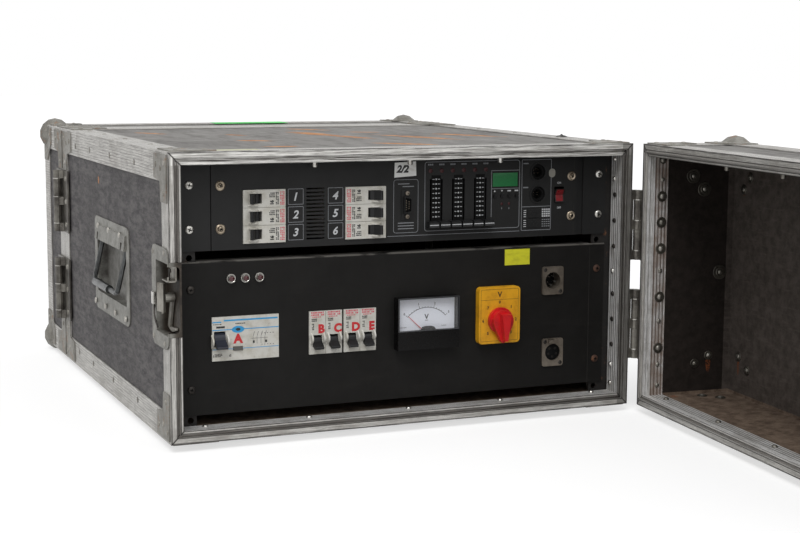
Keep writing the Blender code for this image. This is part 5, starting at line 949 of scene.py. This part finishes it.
def leaf_heads(put, mesh):
    """Heads on the hinge leaves outside."""
    for z in HINGE_BOLTS_Z:
        put(mesh, dome(0.0036, 0.0014), SIDE_X + 0.0023, 0.0215, z, (1, 0, 0))


def ball_corner_rivets(put, mesh):
    """Rivets of the plates that hold the ball corners."""
    head = dome(0.0028, 0.001)
    for side, upper, edge in EDGES:
        for a, b in ((0.036, 0.012), (0.024, 0.031), (0.012, 0.036)):
            x = side * (SIDE_X - a)
            z = edge - upper * b
            put(mesh, head, side * (SIDE_X + PLATE), LID_DEPTH - a, z, (side, 0, 0), 12)
            put(mesh, head, x, LID_DEPTH - b, edge + upper * PLATE, (0, 0, upper), 12)
            put(mesh, head, x, LID_DEPTH + PLATE, z, (0, -1, 0), 12)


def knuckle_rings(put, mesh):
    """Bright worn edges where a hinge's knuckles meet."""
    profile = tube(0.004, KNUCKLE_RADIUS + 0.0003, -0.0005, 0.0005)
    for middle in HINGE_MIDDLES:
        for share in (-0.364, 0.068, 0.364):
            put(mesh, profile, HINGE_X, 0.0, middle + share * HINGE_LENGTH, (0, 0, 1), 24)


def lid_inside_bolts(put, washers, heads):
    """Cup washers and heads on the walls, the outer board and the rim of a lid."""
    inward = (-1, 0, 0)
    for z, radius in LID_LEG_BOLTS:
        put(washers, washer(radius, 0.0009), SIDE_X - LEG, 0.018, z, inward, 20)
        put(heads, dome(0.0033, 0.003), SIDE_X - LEG, 0.018, z, inward)
    for z in LID_LEG_RIVETS:
        put(heads, dome(0.0026, 0.002), SIDE_X - LEG, 0.018, z, inward, 12)
    for y, z in LID_WALL_BOLTS:
        spot = (SIDE_X - WALL, -y - LID_START, z, inward)
        large = z > 0.1
        put(washers, washer(0.0082 if large else 0.0052, 0.0009), *spot, 24)
        if large:
            put(washers, washer(0.0052, 0.0016), *spot, 20)
        put(heads, dome(0.003, 0.0028), *spot)
    cupped = [(x, LID_DEPTH - WALL, z, (0, 1, 0)) for x, z in LID_BOARD_BOLTS]
    for x, y in LID_RIM_BOLTS:
        cupped.append((x, -y - LID_START, Z_LOW + WALL, (0, 0, 1)))
    for x, *spot in cupped:
        for side in (1, -1):
            put(washers, cup(0.0058, 0.0014, 0.003), side * x, *spot, 20)
            put(heads, dome(0.0033, 0.0022), side * x, *spot)


def make_case_hardware():
    rivets = new_piece("case_rivets", "zinc")
    bright = new_piece("case_bright_heads", "bright_screw")
    dark = new_piece("case_dark_heads", "dark_screw")
    for turn in (Matrix.Identity(4), HALF_TURN):
        put = fitter(turn, -Y_RIM, 1.0)
        brace_rivets(put, rivets)
        rim_rivets(put, bright, True)
        leaf_heads(put, rivets)
        knuckle_rings(put, bright)
        for z in HINGE_BOLTS_Z:
            put(dark, dome(0.0029, 0.0018), SIDE_X - LEG, 0.016, z + 0.004, (-1, 0, 0), 12)
    flat_head = dome(0.0028, 0.0008)
    for y in (-0.115, -0.003, 0.098, 0.176):
        for side in (-1, 1):
            for z in (Z_HIGH - 0.0181, Z_LOW + 0.019):
                spun(dark, washer(0.0034, 0.0002), (side * SIDE_X, y, z), (side, 0, 0), 14)
                spun(rivets, flat_head, (side * SIDE_X, y, z), (side, 0, 0), 12)
        for side, upper, edge in EDGES:
            spun(rivets, flat_head, (side * (SIDE_X - 0.018), y, edge), (0, 0, upper), 12)
    for name, turn in (("front_lid", OPENED), ("rear_lid", HALF_TURN)):
        rivets = new_piece(name + "_rivets", "zinc", name)
        heads = new_piece(name + "_heads", "dull_head", name)
        put = fitter(turn, -LID_START, -1.0)
        brace_rivets(put, rivets)
        ball_corner_rivets(put, rivets)
        leaf_heads(put, rivets)
        rim_rivets(put, heads, False)
        lid_inside_bolts(put, new_piece(name + "_washers", "washer_steel", name), heads)


def make_handle_rivets():
    """Rivets round both handle dishes."""
    rivets = new_piece("handle_rivets", "rivet_zinc")
    for turn in (1, -1):
        for z, row in ((0.0975, (-0.073, -0.025, 0.023, 0.071)), (0.1862, (-0.049, 0.003, 0.055))):
            for y in row:
                place = (-turn * (SIDE_X + 0.0015), turn * y, z)
                spun(rivets, dome(0.0034, 0.0013), place, (-turn, 0, 0), 14)


def spring_path():
    """Middle line of the hooked spring in the front latch's dish, bent over at both ends."""
    for step in range(25):
        share = step / 24
        if share < 0.33:
            angle = math.pi * share / 0.33
            yield -0.257, -0.24 - 0.0022 * math.cos(angle), 0.17 + 0.003 * math.sin(angle)
        elif share < 0.66:
            yield -0.257, -0.2378, 0.17 - 0.007 * (share - 0.33) / 0.33
        else:
            angle = math.pi * (share - 0.66) / 0.34
            yield -0.257, -0.2356 - 0.0022 * math.cos(angle), 0.163 - 0.0018 * math.sin(angle)


def make_latch_details():
    """Bracket, spring, catch and rivets in and round both latch dishes."""
    plates = new_piece("latch_brackets", "zinc")
    springs = new_piece("latch_springs", "dark_screw")
    bright = new_piece("latch_catches", "bright_screw")
    loop = []
    for step in range(13):
        angle = math.pi * step / 12
        loop.append((-0.256, -0.2375 - 0.004 * math.cos(angle), 0.1085 - 0.0065 * math.sin(angle)))
    bow = []
    for step in range(11):
        share = step / 10
        x = -0.2622 - 0.0016 * math.sin(math.pi * share)
        bow.append((x, -0.199 - 0.0125 * share, 0.133 - 0.022 * share))
    for turn in (1, -1):
        def spot(point):
            return (turn * point[0], turn * point[1], point[2])

        for low, high in (
                ((-0.2612, -0.247, 0.1606), (-0.252, -0.225, 0.162)),
                ((-0.2534, -0.247, 0.1606), (-0.252, -0.225, 0.1792)),
                ((-0.2612, -0.247, 0.1606), (-0.26, -0.2455, 0.166)),
                ((-0.258, -0.246, 0.099), (-0.25, -0.23, 0.1003))):
            block(plates, spot(low), spot(high), 0.0003)
        for path, radius in ((list(spring_path()), 0.0009), (loop, 0.001), (bow, 0.0009)):
            wire(springs, [spot(point) for point in path], radius)
        block(bright, spot((-0.265, -0.205, 0.1335)), spot((-0.2616, -0.1965, 0.146)), 0.0006)
        for y, z in ((-0.193, 0.186), (-0.193, 0.1), (-0.235, 0.1885), (-0.235, 0.098)):
            spun(plates, dome(0.0028, 0.001), spot((-SIDE_X - 0.0015, y, z)), (-turn, 0, 0), 14)


# Dimmer unit's front

BUTTONS_X = (0.1047, 0.1134, 0.1221, 0.1308)
FADER_PITCH = 0.0129
LAMPS_X = [0.0292 + index * FADER_PITCH for index in range(6)]
FADER_SCALES_X = (0.0358, 0.0617, 0.0872)
SMALL_LAMPS_X = (0.1133, 0.122)
SWITCH_HEIGHTS = (0.2035, 0.1928)


def make_panel_screws():
    """Rack screws and plate screws with their washers, and painted shade in their recesses."""
    bright = new_piece("rack_screws", "bright_screw")
    brass = new_piece("plate_screws", "brass_screw")
    dark = new_piece("left_panel_screws", "dark_screw")
    rusty = new_piece("panel_screws", "rusty_screw")
    recess = new_piece("screw_recesses", "recess_black")
    rack = ((-0.2325, bright), (0.2325, bright))
    plate = ((-0.2003, brass), (0.1983, brass))
    panel = ((-0.232, dark), (0.232, rusty))
    for screws, heights, head, cross in (
            (rack, (0.2001, 0.2443), (0.0044, 0.0022), (0.0021, 0.35, 0.0021, 0.0002)),
            (plate, (0.1995, 0.243), (0.0028, 0.0023), (0.0021, 0.6, 0.0017, 0.0003)),
            (panel, (0.0381, 0.1397), (0.0042, 0.002), (0.0019, 0.3, 0.0018, 0.0002))):
        for x, mesh in screws:
            for height in heights:
                stud(mesh, dome(*head, 0.0), x, height)
                cross_recess(recess, x, height, *cross)
                if mesh is brass:
                    stud(brass, cup(0.0052, 0.0015, 0.0026), x, height, 24)
                    # Black disc round a plate screw's head inside its washer: painted shade in the recess.
                    stud(recess, tube(0.0, 0.0037, 0.0, 0.001), x, height)


def make_dimmer_print():
    """Numbers, boxes, scales and outlines printed on the dimmer's front."""
    white = new_piece("dimmer_white_print", "white_ink")
    grey = new_piece("dimmer_grey_print", "grey_ink")
    for column, first in ((-0.12075, 1), (-0.0775, 4)):
        for row in range(3):
            height = 0.2298 - row * 0.01815
            printed_frame(grey, column, height, 0.0166, 0.0162, 0.0005, 0.0006)
            letters(white, str(first + row), column, height, 0.0084, shear=0.25, weight=0.025)
    printed_frame(grey, 0.0786, 0.22535, 0.1122, 0.0733, 0.0006, 0.003)
    printed_frame(grey, 0.00115, 0.2161, 0.0283, 0.0562, 0.0005, 0.003)
    printed_frame(grey, 0.15515, 0.2235, 0.0363, 0.077, 0.0006, 0.0012)
    for line in (
            (0.15515, 0.2109, 0.0357, 0.0006), (0.0575, 0.185, 0.155, 0.0005),
            (0.1008, 0.2258, 0.0006, 0.049), (0.1176, 0.2509, 0.0342, 0.0006),
            (0.1176, 0.2315, 0.0342, 0.0005), (0.142, 0.2577, 0.0062, 0.0013),
            (0.142, 0.2318, 0.0062, 0.0013), (-0.0015, 0.2395, 0.013, 0.0009),
            (0.0038, 0.2367, 0.013, 0.0009)):
        tile(grey, *line)
    for row in range(3):
        tile(grey, 0.0012, 0.1985 - row * 0.003, 0.018, 0.0009)
    for x in LAMPS_X:
        for step in (-1, 0, 1):
            tile(grey, x + step * 0.0021, 0.2589, 0.0016, 0.0016)
    for x in SMALL_LAMPS_X:
        tile(grey, x, 0.2102, 0.0007, 0.0018)
    for x in FADER_SCALES_X:
        for step in range(9):
            height = 0.2434 - step * 0.00495
            for side in (-1, 1):
                tile(white, x + side * 0.0032, height, 0.0022, 0.0006, PANEL - 2 * PRINT)
            tile(white, x, height, 0.0016, 0.0015, PANEL - 2 * PRINT)
    for x, up in zip(BUTTONS_X, (1, -1)):
        foot = 0.229 - up * 0.0009
        slab(white, [(x - 0.0012, foot), (x + 0.0012, foot), (x, 0.229 + up * 0.0011)])
    for x in BUTTONS_X[2:]:
        tile(white, x, 0.229, 0.0042, 0.0014)
    for height in SWITCH_HEIGHTS:
        for step in range(4):
            tile(white, 0.1415, height + 0.0033 - step * 0.0022, 0.003, 0.0008)
    for row in range(4):
        for column in range(4):
            x = 0.1632 + column * 0.0026
            tile(white, x, 0.2074 - row * 0.0024, 0.0019, 0.0016)
            tile(grey, x, 0.1964 - row * 0.0024, 0.0019, 0.0009)
    letters(white, "ON", 0.183, 0.2359, 0.0021, weight=0.01)
    letters(white, "OFF", 0.1833, 0.2087, 0.0021, weight=0.01)


def make_dimmer_sockets():
    """Insides of the round sockets and of the nine-way connector."""
    sockets = new_piece("dimmer_sockets", "recess_black")
    pins = new_piece("dimmer_contacts", "brass_screw")
    nine = new_piece("nine_way_insert", "recess_black")
    posts = new_piece("nine_way_posts", "nickel")
    middle = 0.1568
    shell = [(0.0052, -0.0085), (0.0052, -0.0008), (0.0057, -0.0003), (0.0078, -0.0003), (0.0081, -0.0009),
             (0.0081, -0.0085), (0.0052, -0.0085)]
    pin = [(0.0006, -0.0095), (0.0006, -0.005), (0.0003, -0.0045), (0.0, -0.0045)]
    for height in (0.2484, 0.2242):
        stud(sockets, shell, middle, height, 28)
        stud(sockets, tube(0.0, 0.0049, -0.011, -0.0092), middle, height, 24)
        for step in range(5):
            stud(pins, pin, *polar(middle, height, -30.0 + 60.0 * step, 0.003), 8)
    slab(nine, [(-0.001, 0.211), (0.0048, 0.2122), (0.0048, 0.2228), (-0.001, 0.224)],
         PANEL - 0.003, PANEL - 0.0001)
    for x, count in ((0.0004, 5), (0.0034, 4)):
        for step in range(count):
            height = 0.2175 + (step - (count - 1) / 2) * 0.0023
            stud(pins, [(0.00045, -0.0002), (0.00045, 0.0003), (0.0, 0.0003)], x, height, 8, PANEL - 0.003)
    post = [(0.0, 0.0), (0.0024, 0.0), (0.0024, 0.0018), (0.0016, 0.0022), (0.0012, 0.0022), (0.001, 0.0008),
            (0.0, 0.0008)]
    for height in (0.2297, 0.2054):
        stud(posts, post, 0.002, height, 6, PANEL - 0.001)


def make_dimmer_parts():
    """Scale strips, lamps, display, switches, labels, and seam lines of painted highlight."""
    strips = new_piece("fader_scale_strips", "recess_black")
    for x in FADER_SCALES_X:
        tile(strips, x, 0.2236, 0.0108, 0.048, PANEL - 0.00005)
    lamps = new_piece("dimmer_lamps", "dim_led")
    for x in LAMPS_X:
        stud(lamps, dome(0.0025, 0.001, 0.0), x, 0.2525, 16)
    for x in SMALL_LAMPS_X:
        stud(lamps, dome(0.0016, 0.0007, 0.0), x, 0.215, 12)
    display = new_piece("display_window", "display_green")
    block(display, (0.1024, PANEL + 0.0001, BASE + 0.2337), (0.1322, PANEL + 0.0008, BASE + 0.2483), 0.0002)
    levers = new_piece("switch_levers", "black_plastic")
    wells = new_piece("switch_wells", "recess_black")
    for height in SWITCH_HEIGHTS:
        z = BASE + height
        block(wells, (0.1462, PANEL - 0.0007, z - 0.0038), (0.1578, PANEL - 0.0001, z + 0.0038), 0.0002)
        for step in range(5):
            x = 0.152 + (step - 2) * 0.0021
            middle = z + (0.0012 if (step * 3 + int(height * 1000)) % 2 else -0.0012)
            block(levers, (x - 0.0006, PANEL - 0.0013, middle - 0.0008),
                  (x + 0.0006, PANEL - 0.0006, middle + 0.0008), 0.0002)
    slab(new_piece("white_tape_label", "white_tape"),
         [(-0.0122, 0.2463), (0.0128, 0.2478), (0.0122, 0.2628), (-0.0118, 0.2618)],
         PANEL - 0.00018, PANEL - 0.00002)
    marks = new_piece("tape_numbers", "black_ink")
    letters(marks, "2/2", -0.0028, 0.2552, 0.0082, PANEL - 0.00024, shear=0.25, weight=0.05)
    slab(new_piece("paint_spot", "putty_spot"), round_rectangle(0.174, 0.2468, 0.0078, 0.0095, 0.0036),
         PANEL - 0.0002, PANEL - 0.00008)
    # Light lines at the panels' edges and steps: painted highlight.
    seams = new_piece("seam_highlights", "panel_seam")
    tile(seams, 0.2015, 0.222, 0.0004, 0.086, PANEL - 0.00012)
    tile(seams, 0.223, 0.086, 0.0005, 0.156, PANEL - 0.00012)
    for index in range(6):
        fader = f"fader_{index + 1}"
        x = 0.0295 + index * FADER_PITCH
        low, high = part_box(fader)
        middle = (low.z + high.z) / 2
        block(new_piece(f"fader_line_{index + 1}", "white_ink", fader),
              (x - 0.0052, low.y - 0.00005, middle - 0.0004), (x + 0.0052, low.y + 0.001, middle + 0.0004))


# Breaker faces

POLES_X = (-0.0979, -0.0799, -0.0598, -0.0418)
RCD_X = -0.1833
BREAKERS = 0.0885
BREAKER_ROWS = [0.211 + (1 - row) * 0.018 for row in range(3)]


def mark(mesh, x, height, width, tall):
    tile(mesh, x, height, width, tall, NOSE - PRINT, NOSE)


def hatch(mesh, x, height, width, tall, columns, rows):
    """Block of small dashes in place of fine print."""
    for row in range(rows):
        for column in range(columns):
            if (row * 7 + column * 5) % 11 == 3:
                continue
            right = x + width * ((column + 0.5) / columns - 0.5)
            up = height + tall * ((row + 0.5) / rows - 0.5)
            share = 0.74 + 0.16 * ((row + 2 * column) % 3 - 1)
            mark(mesh, right, up, share * width / columns, 0.72 * tall / rows)


def make_breaker_marks():
    """Rating numbers, coloured bars and lines on the breakers' faces."""
    red = new_piece("breaker_red_letters", "red_ink")
    pale = new_piece("breaker_red_bars", "pale_red_ink")
    black = new_piece("breaker_black_marks", "black_ink")
    blue = new_piece("breaker_blue_marks", "blue_ink")
    face = NOSE - PRINT
    for height in BREAKER_ROWS:
        for bank, way in ((-0.1546, 1), (-0.0445, -1)):
            hatch(pale, bank + way * 0.0189, height, 0.005, 0.014, 3, 8)
            letters(black, "16", bank + way * 0.0078, height - way * 0.004, 0.0042, face, weight=0.07,
                    turn=math.pi / 2)
            hatch(black, bank + way * 0.008, height + way * 0.0034, 0.0062, 0.0054, 5, 3)
            hatch(black, bank + way * 0.0136, height, 0.0036, 0.013, 2, 9)
    for letter, x in zip("BCDE", POLES_X):
        hatch(pale, x, BREAKERS + 0.0197, 0.0142, 0.0048, 8, 2)
        hatch(pale, x - 0.001, BREAKERS + 0.0163, 0.01, 0.0014, 5, 1)
        hatch(black, x - 0.0036, BREAKERS + 0.0132, 0.006, 0.0036, 4, 2)
        hatch(black, x - 0.005, BREAKERS + 0.0062, 0.0026, 0.007, 2, 4)
        letters(red, letter, x + 0.0045, 0.0924, 0.0096, face - PRINT, weight=0.055)
    letters(red, "A", RCD_X, BREAKERS - 0.0004, 0.01, face - PRINT, weight=0.055)
    for x, up, width, tall in (
            (-0.1697, 0.0186, 0.057, 0.0016), (-0.2055, 0.0172, 0.0095, 0.0012),
            (-0.1752, 0.0092, 0.07, 0.0009), (-0.1752, -0.0106, 0.07, 0.0006)):
        mark(blue, x, BREAKERS + up, width, tall)
    oval = BREAKERS + 0.009
    slab(blue, [polar(RCD_X, oval, angle, 0.0066, 0.0035) for angle in range(0, 360, 15)], face - PRINT, NOSE)
    slab(black, [polar(RCD_X, oval, angle, 0.0026, 0.0015) for angle in range(0, 360, 30)],
         face - 2 * PRINT, NOSE)
    for x, up, width, tall, columns, rows in (
            (-0.2052, 0.015, 0.009, 0.0012, 5, 1), (-0.18, 0.015, 0.013, 0.0014, 6, 1),
            (-0.205, -0.0166, 0.01, 0.0036, 6, 3), (-0.1918, -0.0172, 0.0024, 0.0028, 3, 3)):
        hatch(black, x, BREAKERS + up, width, tall, columns, rows)
    for step in range(4):
        x = -0.1675 + step * 0.0042
        slant = [(x, 0.001), (x + 0.0004, 0.001), (x + 0.0018, 0.0058), (x + 0.0014, 0.0058)]
        slab(black, [(right, BREAKERS + up) for right, up in slant], face, NOSE)
        mark(black, x, BREAKERS - 0.003, 0.0003, 0.0075)
    for step in range(5):
        x = -0.158 + step * 0.003
        mark(black, x, BREAKERS + 0.0036, 0.0012, 0.0006)
        mark(black, x, BREAKERS - 0.008, 0.0012, 0.0005)
    mark(black, -0.2017, BREAKERS + 0.012, 0.009, 0.002)
    mark(black, -0.161, BREAKERS - 0.0012, 0.018, 0.0003)
    for x in (-0.1668, -0.1536):
        mark(black, x, BREAKERS - 0.0048, 0.002, 0.0026)


def cheek(mesh, x, height, half, reach, raised, toward_x):
    """Raised crescent beside a toggle's slot, reach being half its length."""
    points = []
    for step in range(9):
        share = step / 4 - 1.0
        points.append((reach * share, NOSE - raised * (1.0 - share * share)))
    points += [(reach, NOSE + 0.0004), (-reach, NOSE + 0.0004)]
    z = BASE + height
    if toward_x:
        skin(mesh, *[[(x + along, y, z + end) for along, y in points] for end in (-half, half)])
    else:
        skin(mesh, *[[(x + end, y, z + along) for along, y in points] for end in (-half, half)])


def make_toggle_cheeks():
    mesh = new_piece("toggle_cheeks", "breaker_plastic")
    for side in (-1, 1):
        for x in POLES_X:
            cheek(mesh, x + side * 0.0066, 0.0823, 0.0009, 0.006, 0.005, False)
        cheek(mesh, -0.2025 + side * 0.008, 0.0862, 0.0009, 0.007, 0.0056, False)
        for x in (-0.1664, -0.0327):
            for height in BREAKER_ROWS:
                cheek(mesh, x, height + side * 0.0062, 0.0007, 0.0058, 0.0036, True)


# Distribution panel's parts

CONTACT_ANGLE = 69.75
SCALE_ANGLE = 94.0


def make_neons():
    rings = new_piece("neon_bezels", "bright_screw")
    lenses = new_piece("neon_lenses", "neon_lens")
    bezel = [(0.0031, 0.0), (0.005, 0.0), (0.005, 0.0012), (0.0046, 0.0017), (0.0041, 0.0017),
             (0.0039, 0.0036), (0.0035, 0.004), (0.0031, 0.0037), (0.0031, 0.0)]
    lens = [(0.0, 0.0), (0.003, 0.0), (0.003, 0.0026), (0.0022, 0.0034), (0.0, 0.0037)]
    for x in (-0.19, -0.175, -0.16):
        stud(rings, bezel, x, 0.1494, 24)
        stud(lenses, lens, x, 0.1494)


def make_voltmeter_scale(dial):
    """Scale from 0 to 3 on the dial, with V and a few short lines."""
    ink = new_piece("voltmeter_scale", "black_ink")
    front = dial - 0.00016
    centre = (0.024, 0.0785)
    slab(ink, arc(*centre, 0.0302, 43.0, 137.0, 40) + arc(*centre, 0.0296, 137.0, 43.0, 40), front, dial)
    for step in range(16):
        angle = 90.0 + SCALE_ANGLE / 2 - SCALE_ANGLE * step / 15
        numbered = step % 5 == 0
        start = Vector(polar(*centre, angle, 0.0297))
        end = Vector(polar(*centre, angle, 0.0328 if numbered else 0.0312))
        across = Vector(polar(0.0, 0.0, angle + 90.0, 0.00022))
        slab(ink, [tuple(point) for point in (start - across, end - across, end + across, start + across)],
             front, dial)
        if numbered:
            x, height = polar(*centre, angle, 0.0351)
            letters(ink, str(step // 5), x, min(height, 0.116), 0.0026, front, weight=0.03)
    letters(ink, "V", 0.024, 0.0985, 0.0056, front, weight=0.03)
    for line in ((0.024, 0.0946, 0.0038, 0.0005), (-0.003, 0.088, 0.008, 0.0004),
                 (0.044, 0.088, 0.006, 0.0004)):
        tile(ink, *line, front, dial)


def make_voltmeter_face():
    """White dial with its scale, clear window, lower cover edge and the hump over the hub."""
    low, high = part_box("voltmeter_case")
    front = low.y
    dial = PANEL - 0.0043
    plate = new_piece("voltmeter_dial", "dial_white")
    tile(plate, 0.02335, 0.1017, 0.0662, 0.0344, dial - 0.0001, dial + 0.0001)
    make_voltmeter_scale(dial)
    outline = [(0.0152, 0.083), (0.0318, 0.083), (0.0318, 0.0862), (0.03, 0.0884), (0.0272, 0.0892),
               (0.0198, 0.0892), (0.017, 0.0884), (0.0152, 0.0862)]
    slab(new_piece("voltmeter_hump", "recess_black"), outline, front + 0.0008, front + 0.003)
    foot = 0.0846
    block(new_piece("voltmeter_window", "meter_glass"), (low.x + 0.0016, front + 0.0002, BASE + foot),
          (high.x - 0.0016, front + 0.0007, high.z - 0.0016), 0.0001)
    width = high.x - low.x
    tall = high.z - BASE - foot
    centre = (0.0235, foot + tall / 2)
    hoop(new_piece("voltmeter_rim", "clear_edge"), round_rectangle(*centre, width, tall, 0.0006),
         round_rectangle(*centre, width - 0.0018, tall - 0.0018, 0.0004), front - 0.0003, front + 0.0002)


def make_selector_marks():
    """Frame, line, V and numbers on the selector's plate."""
    ink = new_piece("selector_marks", "brown_ink")
    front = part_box("selector_plate")[0].y
    face = front - PRINT
    x = 0.1084
    middle = 0.0956
    printed_frame(ink, x, middle + 0.0002, 0.045, 0.0564, 0.0003, 0.0012, face, front)
    tile(ink, x, middle + 0.017, 0.045, 0.0003, face, front)
    letters(ink, "V", x, middle + 0.0226, 0.006, face, weight=0.04)
    for step in (0, 1, 2, 3, 5, 6, 7):
        letters(ink, str(step), *polar(x, 0.0903, 90.0 - 45.0 * step, 0.0196), 0.0034, face, weight=0.05)


def make_round_connectors():
    """Insulators, pins and fixing screws of the two round connectors."""
    insulators = new_piece("connector_insulators", "recess_black")
    contacts = new_piece("connector_contacts", "bright_screw")
    holes = new_piece("connector_contact_holes", "dark_screw")
    screws = new_piece("connector_screws", "dark_screw")
    face = PANEL - 0.0023
    pin = [(0.001, -0.0135), (0.001, -0.004), (0.0005, -0.003), (0.0, -0.003)]
    hole = tube(0.0005, 0.0014, -0.0011, -0.00085)
    for x, height, depth, mesh, profile in (
            (0.1764, 0.129, 0.0138, contacts, pin), (0.1775, 0.0493, 0.0018, holes, hole)):
        disc = [(0.0, -0.0139), (0.0088, -0.0139), (0.0088, -depth + 0.0004), (0.0082, -depth + 0.0008),
                (0.0, -depth + 0.0008)]
        stud(insulators, disc, x, height, 28, face)
        for step in range(5):
            angle = 270.0 + CONTACT_ANGLE * (step - 2)
            stud(mesh, profile, *polar(x, height, angle, 0.0052), 10, face)
        for side, up in ((-1, 1), (1, -1)):
            stud(screws, dome(0.0022, 0.001, 0.0), x + side * 0.0095, height + up * 0.012, 14, face)


# Tapes and labels

def strip(mesh, outline):
    """Thin tape on top of the case, with these (x, y) corners."""
    skin(mesh, *[[(x, y, Z_HIGH + up) for x, y in outline] for up in (-0.0001, 0.00025)])


def make_scrap():
    """Crumpled scrap of dark tape on the top."""
    scrap = new_piece("dark_scrap", "dark_tape", smooth=60.0)
    rows = []
    for row in range(6):
        line = []
        for column in range(9):
            crumple = math.sin(1.9 * column + 0.7 * row) * math.cos(1.3 * row - 0.4 * column)
            edge = min(column, 8 - column, 2 * row, 2 * (5 - row)) / 4
            z = Z_HIGH + 0.0002 + 0.0042 * min(edge, 1.0) * (0.75 + 0.25 * crumple)
            line.append(scrap.verts.new((0.242 + 0.0016 * column, -0.115 + 0.0022 * row, z)))
        rows.append(line)
    for near, far in zip(rows, rows[1:]):
        for index in range(8):
            scrap.faces.new((near[index], near[index + 1], far[index + 1], far[index]))
    bmesh.ops.holes_fill(scrap, edges=[edge for edge in scrap.edges if edge.is_boundary])


def make_labels():
    tile(new_piece("yellow_label", "yellow_label"), 0.1331, 0.1567, 0.0302, 0.0172, PANEL - 0.00015)
    strip(new_piece("green_tape", "green_tape", "rear_lid"),
          ((-0.039, 0.327), (0.064, 0.327), (0.066, 0.3655), (-0.036, 0.364)))
    strip(new_piece("cream_tape", "cream_tape"),
          ((-0.2175, -Y_RIM + 0.008), (-0.163, -Y_RIM + 0.007), (-0.164, -Y_RIM + 0.024),
           (-0.216, -Y_RIM + 0.0235)))
    make_scrap()


make_camera()
make_world()
add_sun("key", 1.5, 30.0, 38.0, -35.0)
add_sun("fill", 0.5, 60.0, 62.0, 40.0)
make_floor()
for make_look, rows in FINISHES.items():
    for row in rows:
        make_look(*row)
dress_nodes()
make_case_hardware()
make_handle_rivets()
make_latch_details()
make_panel_screws()
make_dimmer_print()
make_dimmer_sockets()
make_dimmer_parts()
make_breaker_marks()
make_toggle_cheeks()
make_neons()
make_voltmeter_face()
make_selector_marks()
make_round_connectors()
make_labels()
finish_pieces()

bpy.context.scene.view_settings.view_transform = "Standard"


def corners(box):
    return [[float(value) for value in corner] for corner in box]
